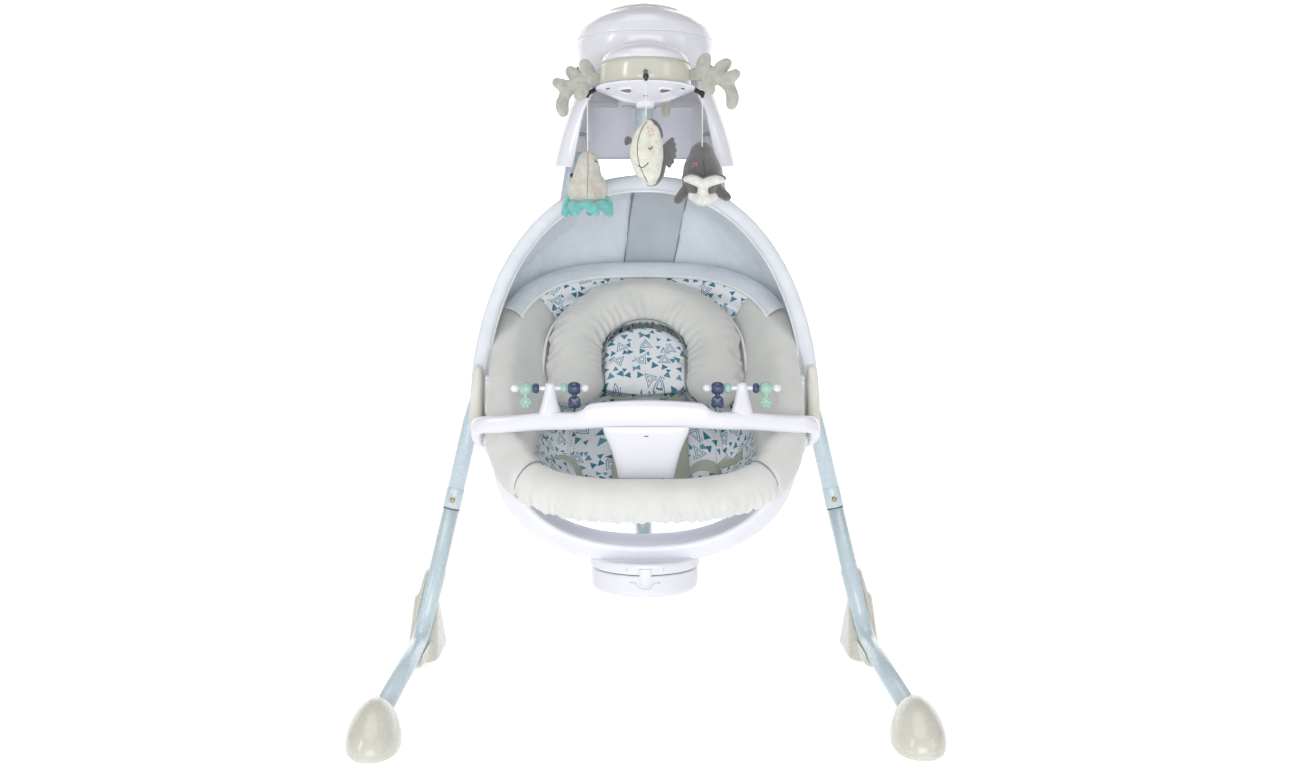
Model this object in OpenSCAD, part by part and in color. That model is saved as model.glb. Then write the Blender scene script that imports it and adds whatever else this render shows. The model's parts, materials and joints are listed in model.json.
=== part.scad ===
// Baby swing: a seat that hangs from a motor head on two bent tube legs.
// Origin: on the floor, at the centre of the footprint. +Z up, the seat faces -Y.

/* [Frame] */
// Outer diameter of every leg tube and of the swing arm tube
tube_d = 28; // [26:1:30]
// Distance from the centre plane to each base tube, measured at the front foot
base_half_w = 388; // [384:1:392]
// Distance of the front foot's toe from the origin, forwards
foot_reach = 320; // [316:1:324]
// Height of the head's rim seam, before the head leans back
head_seam_z = 1027; // [1025:1:1029]

/* [Swing] */
// Height of the axle that the arm swings on
axle_z = 946; // [945:1:948]
// Diameter of the swing axle
axle_d = 16; // [14:1:18]
// Distance of the arm's upright behind the origin
arm_back_y = 270; // [268:1:276]
// Height of the flat base of the swivel cup
cup_z = 181; // [180:1:182]
// Radius of the swivel cup
cup_r = 83; // [80:1:84]

/* [Seat] */
// Half width of the seat's steel rim, at the tube's centre
rim_half_w = 219; // [217:1:220]
// Half length of the seat's steel rim, along its slope
rim_half_l = 251; // [248:1:252]
// Angle of the rim above the horizontal
rim_tilt = 34; // [33:0.5:35]
// Radius of the padded roll round the rim
roll_r = 30; // [28:1:31]
// Height of the canopy's front bow above its pivots
canopy_h = 391; // [385:1:392]

/* [Mobile] */
// Radius of the turning hub
hub_r = 65.5; // [63:0.5:66]
// Angle that the head and the mobile lean back by
head_lean = 5.5; // [4:0.5:6]
// Distance from the mobile's axis to each string
peg_reach = 98; // [94:1:99]

/* [Hidden] */

tube_r = tube_d / 2;
bore_gap = 0.3;
side_gap = 0.4;

// Legs, right-hand side; the left is their mirror image.
leg_seam = [328.5, 232, 255];
upper_leg_corners = [leg_seam, [286, 252, 440], [130, 168, 740], [103.3, 142.9, 886.5]];
heel_corner = [379, 190, 36];
lower_leg_top = leg_seam + 1.6 * (heel_corner - leg_seam) / norm(heel_corner - leg_seam);
lower_leg_corners = [lower_leg_top, heel_corner, [base_half_w, -232, 36]];
heel_bend_r = 62;
// Front face of the spring button that locks each leg's top into the head
leg_button_at = [115.8, 135, 818];
leg_button_r = 3.5;
leg_button_l = 13;

// Head: one ring is [height, half width, half depth, centre Y, squareness, share of the lean].
head_skirt_rings = [
    [822, 139, 116, 69, 6, -0.78], [828, 140, 117, 69, 6, -0.78], [880, 128, 112, 72, 6, 0],
    [930, 113, 103, 64, 4.5, 0.45], [962, 103, 97, 52, 3.4, 0.8], [974, 101, 97, 52, 3, 0.94],
    [980, 101, 104, 38, 2.6, 1], [992, 102, 106, 25, 2.4, 1], [1008, 105, 108, 20, 2.3, 1],
    [1020, 106, 109, 18, 2.2, 1], [head_seam_z, 105, 108, 18, 2.2, 1]
];
head_cap_rings = [
    [head_seam_z, 105, 108, 18, 2.2, 1], [1036, 104, 107, 18, 2.2, 1], [1046, 99, 102, 17, 2.2, 1],
    [1057, 84, 88, 14, 2.2, 1], [1067, 65, 68, 11, 2.2, 1], [1070, 58, 61, 10, 2.2, 1]
];
head_wall = 3.5;
lean_pivot = [0, -115, 985];
hub_axis_y = -115;
hub_top_z = 971;
hub_bottom_z = 939;
bowl_r = 72;
peg_azimuths = [-90, 30, 150];
peg_root_z = 951;
peg_droop = 12;
string_lengths = [51, 89, 80];
string_d = 1.6;

// Seat: local frame with X across, Y up the slope and Z out of the rim's plane.
seat_centre = [0, -73.5, 504.5];
rim_tube_r = 8;
rim_power = 3;
// One ring of the bucket is [depth under the rim, half width, half length, centre Y].
bucket_rings = [
    [12, 188, 214, 0], [40, 181, 192, -9], [70, 163, 133, -72], [98, 134, 90, -102], [112, 96, 56, -108]
];
bucket_wall = 6;
front_seam_x = 164;
rear_seam_x = 176;

// Swivel and hoop
swivel_y = -25;
cup_h = 36;
collar_z = cup_z + cup_h + side_gap;
collar_top_z = 235;
spigot_h = 7.5;
hoop_half_w = 233;
hoop_drop = 178;
hoop_top_z = 405;
hoop_power = 2.3;
hoop_depth = 94;
hoop_thick = 28;
hoop_wall = 4;

// Side pivots
plate_x = hoop_half_w + side_gap;
plate_t = 6;
canopy_pivot = [-60, 440];
tray_pivot = [-120, 428];
rim_boss = [-72, 505];
canopy_pin_r = 5;
tray_pin_r = 4;
pin_gap = 0.05;

// Canopy
bow_angle = 75;
hood_rear_angle = 46.5;
hood_rear_h = 322;
hood_half_w = 267;
hood_bulge = 18;
hood_wall = 4;
bow_r = 4;

// Tray
toy_post_x = 134;
axle_half_l = 47;
toy_axle_z = 513.5;
toy_axle_y = -215;
toy_axle_r = 2.5;
spinner_offset = 32;
bead_offset = 18.9;

// ---- Geometry helpers ----

function lerp(a, b, t) = a + (b - a) * t;
function unit(v) = v / norm(v);
function spow(v, p) = sign(v) * pow(abs(v), p);

// Points of a circle, counter-clockwise
function circle_points(r, n) = [for (i = [0 : n - 1]) r * [cos(i * 360 / n), sin(i * 360 / n)]];

// Points of an ellipse, counter-clockwise
function ellipse_points(a, b, n) = [for (i = [0 : n - 1]) [a * cos(i * 360 / n), b * sin(i * 360 / n)]];

// One point of a superellipse at an angle
function super_point(a, b, power, angle) =
    [a * spow(cos(angle), 2 / power), b * spow(sin(angle), 2 / power)];

// A level ring of points for loft()
function ring(z, a, b, cy, power, n) = [
    for (i = [0 : n - 1])
        let (p = super_point(a, b, power, i * 360 / n)) [p.x, p.y + cy, z]
];

// Arc that rounds the corner b between a and c
function corner_arc(a, b, c, r, steps) =
    let (
        u = unit(a - b), v = unit(c - b), half = acos(u * v) / 2,
        centre = b + unit(u + v) * r / sin(half),
        p = b + u * r / tan(half) - centre, q = b + v * r / tan(half) - centre,
        sweep_a = 180 - 2 * half
    )
    [for (i = [0 : steps]) let (f = i / steps)
        centre + (sin((1 - f) * sweep_a) * p + sin(f * sweep_a) * q) / sin(sweep_a)];

// A path through corner points, each inner corner rounded to its radius
function rounded_path(corners, radii, steps) = [
    corners[0],
    for (i = [1 : len(corners) - 2])
        each corner_arc(corners[i - 1], corners[i], corners[i + 1], radii[i - 1], steps),
    corners[len(corners) - 1]
];

// Side faces between rings of n points, as triangles
function ring_sides(rings, n, closed) = [
    for (i = [0 : rings - (closed ? 1 : 2)], j = [0 : n - 1], k = [0 : 1])
        let (i2 = (i + 1) % rings, j2 = (j + 1) % n)
        k == 0 ? [i * n + j, i2 * n + j, i2 * n + j2] : [i * n + j, i2 * n + j2, i * n + j2]
];

// Solid through a stack of rings, lowest first
module loft(rings) {
    n = len(rings[0]);
    count = len(rings);
    polyhedron(
        points = [for (r = rings) each r],
        faces = concat(
            ring_sides(count, n, false),
            [[for (j = [0 : n - 1]) j]],
            [[for (j = [n - 1 : -1 : 0]) (count - 1) * n + j]]
        )
    );
}

// Direction of a path at point i
function tangent(path, i, closed) =
    let (n = len(path))
    closed ? unit(path[(i + 1) % n] - path[(i + n - 1) % n])
           : unit(path[min(i + 1, n - 1)] - path[max(i - 1, 0)]);

// Rings of a section swept along a path; ref is never parallel to the path
function sweep_rings(path, section, ref, closed) = [
    for (i = [0 : len(path) - 1])
        let (t = tangent(path, i, closed), side = unit(cross(ref, t)), up = cross(t, side))
        [for (p = section) path[i] + p.x * side + p.y * up]
];

module sweep(path, section, ref, closed = false) {
    rings = sweep_rings(path, section, ref, closed);
    n = len(section);
    if (closed)
        polyhedron(points = [for (r = rings) each r], faces = ring_sides(len(rings), n, true));
    else
        loft(rings);
}

module both_sides() {
    children();
    mirror([1, 0, 0]) children();
}

module in_seat() {
    translate(seat_centre) rotate([rim_tilt, 0, 0]) children();
}

// Leans a piece of the head or the mobile back about the mobile's axis
module leaned() {
    translate(lean_pivot) rotate([-head_lean, 0, 0]) translate(-lean_pivot) children();
}

// The same lean for one point; share is 1 for the whole angle
function lean_point(p, share = 1) =
    let (d = p - lean_pivot, s = sin(head_lean * share), c = cos(head_lean * share))
    lean_pivot + [d.x, d.y * c + d.z * s, d.z * c - d.y * s];

// ---- Legs ----

upper_leg_path = rounded_path(upper_leg_corners, [250, 250], 7);
lower_leg_path = rounded_path(lower_leg_corners, [heel_bend_r], 10);

leg_top_path = [for (k = [2, 1]) upper_leg_path[len(upper_leg_path) - k]];

module upper_leg(r = tube_r) sweep(upper_leg_path, circle_points(r, 20), [1, 0, 0]);
module lower_leg(r = tube_r) sweep(lower_leg_path, circle_points(r, 20), [1, 0, 0]);

module leg_top(r) sweep(leg_top_path, circle_points(r, 20), [1, 0, 0]);
module drilled_upper_leg() {
    difference() {
        upper_leg();
        translate([leg_button_at.x, leg_button_at.y - 10, leg_button_at.z])
            rotate([-90, 0, 0]) cylinder(r = leg_button_r + side_gap, h = 26);
    }
}
module upper_leg_right() color("lightsteelblue") drilled_upper_leg();
module upper_leg_left() color("lightsteelblue") mirror([1, 0, 0]) drilled_upper_leg();
module lower_leg_right() color("lightsteelblue") lower_leg();
module lower_leg_left() color("lightsteelblue") mirror([1, 0, 0]) lower_leg();

// Wedge behind the heel bend, with a channel that hugs the back of the tube
module heel_foot() {
    difference() {
        union() {
            hull() {
                translate([377, 196, 0]) cylinder(r = 27, h = 6, $fn = 32);
                translate([377, 290, 0]) cylinder(r = 30, h = 6, $fn = 32);
                translate([372, 222, 100]) cylinder(r = 20, h = 8, $fn = 32);
            }
            hull() {
                translate([371, 214, 90]) cylinder(r = 19, h = 4, $fn = 32);
                translate([355, 222, 148]) cylinder(r = 18, h = 4, $fn = 32);
            }
            hull() {
                translate([379, 190, 10]) cylinder(r = 20, h = 26, $fn = 32);
                translate([381, 105, 14]) cylinder(r = 17, h = 22, $fn = 32);
            }
        }
        lower_leg(tube_r + bore_gap);
        // Front of the channel stays open
        translate([340, 110, 36]) cube([80, 74, 130]);
    }
}
module heel_foot_right() color("lightgray") heel_foot();
module heel_foot_left() color("lightgray") mirror([1, 0, 0]) heel_foot();

// Teardrop foot over the front end of the base tube
foot_rings = [
    [0, 33, 54, -262], [4, 37, 60, -260], [14, 38.5, 60, -260], [32, 36, 55, -256],
    [50, 28, 42, -248], [62, 18, 28, -242], [69, 7, 12, -238]
];
module front_foot() {
    difference() {
        translate([base_half_w, 320 - foot_reach, 0])
            loft([for (g = foot_rings) ring(g[0], g[1], g[2], g[3], 2.2, 32)]);
        lower_leg(tube_r + bore_gap);
    }
}
module front_foot_right() color("gainsboro") front_foot();
module front_foot_left() color("gainsboro") mirror([1, 0, 0]) front_foot();

// Rivet through the swaged joint of each leg
module leg_rivets() {
    color("goldenrod") both_sides()
        translate([325, 232 - tube_r - 2, 272]) rotate([90, 0, 0]) cylinder(r = 4, h = 2.5);
}

module leg_button_shape()
    translate(leg_button_at) rotate([-90, 0, 0]) cylinder(r = leg_button_r, h = leg_button_l);
module leg_button_right() color("dimgray") leg_button_shape();
module leg_button_left() color("dimgray") mirror([1, 0, 0]) leg_button_shape();

// ---- Head ----

function head_ring(g, inset) =
    [for (p = ring(g[0], g[1] - inset, g[2] - inset, g[3], g[4], 36)) lean_point(p, g[5])];

module head_skirt_solid(inset) {
    drop = inset > 0 ? 2 : 0;
    rings = [for (g = head_skirt_rings) head_ring(g, inset)];
    bottom = [for (p = rings[0]) p - [0, 0, drop]];
    top = [for (p = rings[len(rings) - 1]) p + [0, 0, drop]];
    loft(concat([bottom], [for (i = [1 : len(rings) - 2]) rings[i]], [top]));
}

// Round cap over the mobile's motor
dome_r = 63;
dome_h = 27;
module dome_solid(inset) {
    leaned() translate([0, hub_axis_y, 975])
        rotate_extrude($fn = 48)
            polygon([
                [0, inset > 0 ? 3 : 0], [dome_r - inset, inset > 0 ? 3 : 0],
                for (a = [15 : 15 : 90]) [(dome_r - inset) * cos(a), (dome_h - inset) * sin(a)]
            ]);
}

module head_lower_shell() {
    color("white") difference() {
        union() {
            head_skirt_solid(0);
            dome_solid(0);
        }
        head_skirt_solid(head_wall);
        dome_solid(head_wall);
        leaned() translate([0, hub_axis_y, 970]) cylinder(r = 6, h = 12);
        // The skirt is open in front, where the arm hangs
        translate([0, 20, 0]) rotate([90, 0, 0]) linear_extrude(height = 90)
            polygon([[-114, 800], [114, 800], [92, 915], [80, 940], [80, 966],
                [-80, 966], [-80, 940], [-92, 915]]);
    }
}

module head_upper_shell() {
    lift = side_gap;
    color("white") difference() {
        translate([0, 0, lift]) loft([for (g = head_cap_rings) head_ring(g, 0)]);
        translate([0, 0, lift - 3.5]) loft([for (g = head_cap_rings) head_ring(g, head_wall)]);
        leaned() for (b = [0 : 4]) panel_button_place(b) translate([0, 0, -14]) cylinder(r = 6, h = 20);
    }
}

// Grey control panel set on the cap
panel_rings = [[1070.5, 57, 60], [1076, 50, 52], [1080, 38, 39], [1082, 22, 23]];
module control_panel() {
    color("darkgray") difference() {
        loft([for (g = panel_rings) [for (p = ring(g[0], g[1], g[2], 10, 2.2, 32)) lean_point(p)]]);
        leaned() for (b = [0 : 4]) panel_button_place(b) translate([0, 0, -14]) cylinder(r = 6, h = 30);
    }
}

// Buttons stand in an arc along the panel's front
button_positions = [[-38, 0], [-21, -22], [0, -29], [21, -22], [38, 0]];
button_top_z = [1080, 1081, 1082, 1081, 1080];
module panel_button_place(i)
    translate([button_positions[i].x, button_positions[i].y + 10, button_top_z[i] - 3]) children();
module panel_button(i) {
    color("whitesmoke") leaned() panel_button_place(i) {
        translate([0, 0, -8]) cylinder(r = 5.7, h = 10);
        translate([0, 0, -10]) cylinder(r = 4, h = 2);
    }
}
module panel_button_1() panel_button(0);
module panel_button_2() panel_button(1);
module panel_button_3() panel_button(2);
module panel_button_4() panel_button(3);
module panel_button_5() panel_button(4);

// Inner frame that holds the leg tops and the axle's bearings
lug_front_y = 44;
lug_rear_y = 112;
lug_t = 12;
bearing_r = 12;
chassis_z = 925;
chassis_t = 8;
module head_chassis() {
    color("slategray") difference() {
        union() {
            translate([-40, lug_front_y, chassis_z]) cube([80, 96, chassis_t]);
            translate([-86, 124, chassis_z]) cube([172, 8, chassis_t]);
            both_sides() translate([80, 124, 872]) cube([12, 8, chassis_z - 869]);
            for (y = [lug_front_y, lug_rear_y]) {
                translate([-17, y, chassis_z]) cube([34, lug_t, axle_z - chassis_z]);
                translate([0, y, axle_z]) rotate([-90, 0, 0]) cylinder(r = 17, h = lug_t);
            }
            both_sides() intersection() {
                leg_top(tube_r + 2.4);
                translate([60, 90, 856]) cube([80, 90, 24]);
            }
        }
        both_sides() leg_top(tube_r + bore_gap);
        translate([-34, lug_front_y + lug_t, chassis_z - 6])
            cube([68, lug_rear_y - lug_front_y - lug_t, 30]);
        translate([0, 0, axle_z]) rotate([-90, 0, 0]) cylinder(r = bearing_r, h = 300);
    }
}

module axle_bearings() {
    color("silver") for (y = [lug_front_y, lug_rear_y])
        translate([0, y + 1, axle_z]) rotate([-90, 0, 0]) difference() {
            cylinder(r = bearing_r - 0.05, h = lug_t - 2);
            translate([0, 0, -1]) cylinder(r = axle_d / 2 + 0.05, h = lug_t);
        }
}

// Fixed coil over the magnet on the arm
module drive_coil() {
    color("peru") translate([0, arm_top_y, axle_z + 36]) difference() {
        cylinder(r = 20, h = 10);
        translate([0, 0, -1]) cylinder(r = 8, h = 12);
    }
}

module mobile_motor() {
    color("silver") leaned() translate([0, hub_axis_y, 0]) {
        translate([0, 0, 978]) cylinder(r = 11, h = 16);
        translate([0, 0, 950]) cylinder(r = 3, h = 29);
    }
}

// ---- Swing arm ----

arm_top_y = 87;
arm_foot_z = 196.5;
arm_corners = [
    [0, arm_top_y, axle_z - 10], [0, arm_top_y + 3, 880], [0, arm_back_y, 640], [0, arm_back_y + 4, 420],
    [0, arm_back_y - 10, arm_foot_z], [0, swivel_y + cup_r - 24, arm_foot_z]
];
arm_steps = 7;
arm_path = rounded_path(arm_corners, [120, 220, 300, 100], arm_steps);
arm_top_path = [for (i = [0 : arm_steps + 1]) arm_path[i]];

module arm_tube() color("lightsteelblue") sweep(arm_path, circle_points(tube_r, 20), [1, 0, 0]);

module swing_axle() {
    color("silver") translate([0, lug_front_y - 6, axle_z]) rotate([-90, 0, 0])
        cylinder(r = axle_d / 2, h = lug_rear_y + lug_t - lug_front_y + 12);
}

module arm_hub() {
    color("gray") difference() {
        union() {
            translate([0, arm_top_y - 22, axle_z]) rotate([-90, 0, 0]) cylinder(r = 20, h = 44);
            translate([0, arm_top_y, axle_z - 25]) cylinder(r = 19, h = 20);
        }
        translate([0, arm_top_y - 30, axle_z]) rotate([-90, 0, 0]) cylinder(r = axle_d / 2, h = 60);
        sweep(arm_top_path, circle_points(tube_r + bore_gap, 20), [1, 0, 0]);
    }
}

module drive_magnet() color("dimgray") translate([-12, arm_top_y - 10, axle_z + 20.5]) cube([24, 20, 8]);

// Cup at the arm's end that the seat turns on
module swivel_cup() {
    color("white") difference() {
        union() {
            translate([0, swivel_y, cup_z]) cylinder(r = cup_r, h = cup_h);
            translate([0, swivel_y, cup_z + cup_h - 1]) cylinder(r = 30, h = spigot_h + 1);
        }
        translate([0, swivel_y, cup_z - 1]) cylinder(r = cup_r - 6, h = 5);
        translate([0, swivel_y + cup_r - 24, arm_foot_z]) rotate([-90, 0, 0])
            cylinder(r = tube_r + bore_gap, h = 60);
    }
}

// ---- Seat base ----

hoop_steps = 32;
// The hoop's curve, inset from its outer face; x runs across and y runs up
function hoop_curve(inset) = [
    for (i = [0 : hoop_steps])
        super_point(hoop_half_w - inset, hoop_drop - inset, hoop_power, 180 + i * 180 / hoop_steps)
];

// Band between two insets, extruded to a depth along Y and raised at its ends by extend
module hoop_band(outer_inset, inner_inset, depth, extend) {
    outer = hoop_curve(outer_inset);
    inner = hoop_curve(inner_inset);
    points = concat(
        [outer[0] + [0, extend]], outer, [outer[hoop_steps] + [0, extend], inner[hoop_steps] + [0, extend]],
        [for (i = [hoop_steps : -1 : 0]) inner[i]], [inner[0] + [0, extend]]
    );
    translate([0, swivel_y, hoop_top_z]) rotate([90, 0, 0])
        linear_extrude(height = depth, center = true) polygon(points);
}

// U-shaped hoop: a channel that opens towards the seat
module seat_hoop() {
    color("white") difference() {
        hoop_band(0, hoop_thick, hoop_depth, 1);
        hoop_band(hoop_wall, hoop_thick + 3, hoop_depth - 2 * hoop_wall, 4);
    }
}

// Collar under the hoop, with a blind socket for the cup's spigot
module swivel_collar() {
    color("white") difference() {
        translate([0, swivel_y, collar_z]) cylinder(r = cup_r + 2, h = collar_top_z - collar_z);
        hoop_band(0, hoop_thick, hoop_depth, 1);
        translate([0, swivel_y, collar_z - 1]) cylinder(r = 30.05, h = spigot_h + 1.3);
        // Slot over the click tongue
        translate([-28, swivel_y - cup_r - 6, collar_z + 5]) cube([56, 10, 4.5]);
    }
}

// Steel plate that joins the hoop, the rim and the two pivots on each side
module side_bracket() {
    translate([plate_x, 0, 0]) difference() {
        union() {
            hull() {
                plate_disc(tray_pivot, 15);
                plate_disc(canopy_pivot, 18);
                plate_disc([-10, 392], 14);
            }
            hull() {
                plate_disc(canopy_pivot, 16);
                plate_disc(rim_boss, 12);
            }
            // Boss that carries the rim
            translate([rim_half_w + rim_tube_r + side_gap - plate_x, rim_boss.x, rim_boss.y])
                rotate([0, 90, 0]) cylinder(r = 8, h = plate_x - rim_half_w - rim_tube_r);
        }
        plate_bore(canopy_pivot, canopy_pin_r + pin_gap);
        plate_bore(tray_pivot, tray_pin_r + pin_gap);
    }
}
module plate_disc(at, r) translate([0, at.x, at.y]) rotate([0, 90, 0]) cylinder(r = r, h = plate_t, $fn = 32);
module plate_bore(at, r) translate([-1, at.x, at.y]) rotate([0, 90, 0]) cylinder(r = r, h = plate_t + 2);
module side_bracket_right() color("white") side_bracket();
module side_bracket_left() color("white") mirror([1, 0, 0]) side_bracket();

// ---- Seat ----

rim_steps = 48;
function rim_point(a) =
    let (p = super_point(rim_half_w, rim_half_l, rim_power, a)) [p.x, p.y, 0];
rim_path = [for (i = [0 : rim_steps - 1]) rim_point(i * 360 / rim_steps)];

module rim_sweep(r, n) sweep(rim_path, circle_points(r, n), [0, 0, 1], true);
module seat_rim() color("silver") in_seat() rim_sweep(rim_tube_r, 10);

// Padding round one stretch of the rim, between two angles
module rim_pad(from, to, r, steps, waist = 0) {
    path = [for (i = [0 : steps]) rim_point(lerp(from, to, i / steps))];
    hole = [for (i = [-1 : steps + 1]) rim_point(lerp(from, to, i / steps))];
    difference() {
        loft([for (i = [0 : steps])
            let (
                t = tangent(path, i, false), side = unit(cross([0, 0, 1], t)), up = cross(t, side),
                size = r - waist * sin(180 * i / steps)
            )
            [for (p = circle_points(size, 14)) path[i] + p.x * side + p.y * up]]);
        sweep(hole, circle_points(rim_tube_r + 0.9, 12), [0, 0, 1]);
    }
}

// Angle on the rim where its half width is x
function rim_angle(x) = acos(pow(x / rim_half_w, rim_power / 2));

front_angle = rim_angle(front_seam_x);
rear_angle = rim_angle(rear_seam_x);
// Angle that each pad stops short of its seam
seam_gap = 1.2;
module front_roll() {
    color("gainsboro") in_seat() rim_pad(180 + front_angle + seam_gap, 360 - front_angle - seam_gap, roll_r, 12);
}
module rear_roll() color("aliceblue") in_seat() rim_pad(rear_angle + seam_gap, 180 - rear_angle - seam_gap, roll_r, 12);

// Side bolster, narrower at its middle and flattened by the bracket's plate
bolster_waist = 12;
module bolster() {
    difference() {
        in_seat() rim_pad(-front_angle + seam_gap, rear_angle - seam_gap, roll_r + 1, 14, bolster_waist);
        translate([plate_x - 0.8, -400, 300]) cube([60, 600, 400]);
        translate([rim_half_w + rim_tube_r, rim_boss.x - 12, rim_boss.y - 12]) cube([20, 24, 24]);
    }
}
module bolster_right() color("gainsboro") bolster();
module bolster_left() color("gainsboro") mirror([1, 0, 0]) bolster();

// Moulded fabric bucket
module bucket_solid(inset, lift) {
    rings = [for (i = [len(bucket_rings) - 1 : -1 : 0])
        let (g = bucket_rings[i])
        ring(-g[0] + (i == 0 ? lift : inset), g[1] - inset, g[2] - inset, g[3], 2.8, 36)];
    loft(rings);
}
module seat_bucket() {
    color("aliceblue") in_seat() difference() {
        bucket_solid(0, 0);
        bucket_solid(bucket_wall, 5);
    }
}

// U-shaped pillow round the head
module head_pillow() {
    path = [
        for (i = [0 : 3]) [108, lerp(6, 86, i / 3), lerp(-28, -14, i / 3)],
        for (a = [18 : 18 : 162]) [108 * cos(a), 86 + 82 * sin(a), -14 + 20 * sin(a)],
        for (i = [3 : -1 : 0]) [-108, lerp(6, 86, i / 3), lerp(-28, -14, i / 3)]
    ];
    color("lightgray") in_seat() sweep(path, ellipse_points(46, 24, 16), [0, 0, 1]);
}

// Printed pad inside the pillow
module pillow_pad() {
    color("aliceblue") in_seat() translate([0, 58, -48]) rotate([12, 0, 0])
        linear_extrude(height = 16) hull() {
            translate([0, 30]) circle(r = 54);
            translate([-46, -48]) square([92, 10]);
        }
}

// Shoulder and waist webbing, lying on the bucket
module strap_run(points, w) {
    sweep(points, [[-w / 2, -1], [w / 2, -1], [w / 2, 1], [-w / 2, 1]], [0, 0, 1]);
}
module harness_straps() {
    color("darkseagreen") in_seat() both_sides() {
        strap_run([[36, -12, -62], [38, -50, -80], [42, -84, -94]], 22);
        strap_run([[128, -96, -60], [104, -112, -80], [72, -124, -94]], 22);
    }
}

module harness_buckle() {
    color("darkseagreen") in_seat() both_sides()
        translate([48, -128, -98]) rotate([0, 0, 20]) cube([26, 16, 9], center = true);
}

// ---- Canopy ----

function hood_point(s, t, inset) =
    let (
        phi = lerp(hood_rear_angle, bow_angle, t),
        h = lerp(hood_rear_h, canopy_h, t) + hood_bulge * sin(180 * t) - inset,
        p = super_point(hood_half_w - inset, h, lerp(3, 2.2, t), s)
    )
    [p.x, canopy_pivot.x + p.y * cos(phi), canopy_pivot.y + p.y * sin(phi)];

hood_from = 9;
hood_steps = 30;
hood_rows = 6;
module canopy_hood() {
    outer = [for (i = [0 : hood_steps]) [
        let (s = lerp(hood_from, 180 - hood_from, i / hood_steps)) each concat(
            [for (k = [0 : hood_rows]) hood_point(s, k / hood_rows, 0)],
            [for (k = [hood_rows : -1 : 0]) hood_point(s, k / hood_rows, hood_wall)]
        )
    ]];
    color("lightsteelblue") loft(outer);
}

// Wire bow just inside the hood's front edge, with a hub at each pivot
module canopy_bow() {
    bow_inset = hood_wall + bow_r + 1;
    end = [plate_x + plate_t + side_gap + bow_r + 6, canopy_pivot.x, canopy_pivot.y];
    path = concat(
        [end], [for (s = [10 : 10 : 170]) hood_point(s, 1, bow_inset)], [[-end.x, end.y, end.z]]
    );
    color("gray") {
        sweep(path, circle_points(bow_r, 10), [0, -1, 0.2]);
        both_sides() {
            translate([plate_x + plate_t + side_gap, canopy_pivot.x, canopy_pivot.y])
                rotate([0, 90, 0]) cylinder(r = 17, h = 10);
            translate([plate_x - 7, canopy_pivot.x, canopy_pivot.y])
                rotate([0, 90, 0]) cylinder(r = canopy_pin_r, h = plate_t + 10);
        }
    }
}

// Cloth flap over each pivot
module canopy_flaps() {
    color("beige") both_sides() hull() {
        translate([261, canopy_pivot.x - 14, 436]) rotate([0, 90, 0]) cylinder(r = 12, h = 4, $fn = 32);
        translate([261, canopy_pivot.x + 10, 440]) rotate([0, 90, 0]) cylinder(r = 14, h = 4, $fn = 32);
        translate([262, canopy_pivot.x + 12, 486]) rotate([0, 90, 0]) cylinder(r = 16, h = 4, $fn = 32);
    }
}

// ---- Tray ----

// One station of the bar is [X, centre Y, centre Z, half height, half thickness].
tray_stations = [
    [247, -116, 427, 9, 6.2], [247, -134, 433, 10.5, 6.2], [247, -152, 441, 11.5, 6.2],
    [243.5, -176, 452, 12, 7], [231, -195, 459, 12.4, 8], [205, -206, 461, 12.5, 9], [150, -221, 467, 12.6, 9],
    [112, -229, 468.5, 12.4, 9], [99, -231, 469.5, 12.4, 9], [78, -234.5, 476.4, 17.6, 9],
    [40, -237, 479.2, 18.7, 9], [0, -238, 480.4, 19.1, 9]
];
function super_ring(a, b, power, n) = [for (i = [0 : n - 1]) super_point(a, b, power, i * 360 / n)];

// Rings of the bar, each square to the bar in plan
function tray_rings() =
    let (
        count = len(tray_stations),
        all = concat(
            [for (g = tray_stations) [-g[0], g[1], g[2], g[3], g[4]]],
            [for (i = [count - 2 : -1 : 0]) tray_stations[i]]
        ),
        path = [for (g = all) [g[0], g[1], g[2]]]
    )
    [for (i = [0 : len(all) - 1])
        let (side = unit(cross([0, 0, 1], tangent(path, i, false))))
        [for (p = super_ring(all[i][4], all[i][3], 3.2, 14)) path[i] + p.x * side + [0, 0, p.y]]];

module tray_bar() {
    color("white") difference() {
        union() {
            loft(tray_rings());
            both_sides() {
                translate([plate_x + plate_t + side_gap, tray_pivot.x, tray_pivot.y])
                    rotate([0, 90, 0]) cylinder(r = 12, h = 9);
                translate([plate_x - 6, tray_pivot.x, tray_pivot.y])
                    rotate([0, 90, 0]) cylinder(r = tray_pin_r, h = plate_t + 10);
                translate([toy_post_x, toy_axle_y, toy_axle_z - 44]) cylinder(r1 = 12, r2 = 7, h = 37);
                translate([toy_post_x, toy_axle_y, toy_axle_z - 8]) cylinder(r = 7, h = 14);
            }
        }
        both_sides() translate([toy_post_x - 20, toy_axle_y, toy_axle_z]) rotate([0, 90, 0])
            cylinder(r = toy_axle_r, h = 40);
    }
}

// Post between the child's legs, under the bar's middle
crotch_rings = [[388, 40, 11, -231], [400, 42, 12, -232], [440, 54, 12, -235], [459.5, 61, 11, -237]];
module crotch_post() {
    color("white") loft([for (g = crotch_rings) ring(g[0], g[1], g[2], g[3], 4, 28)]);
}

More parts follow.
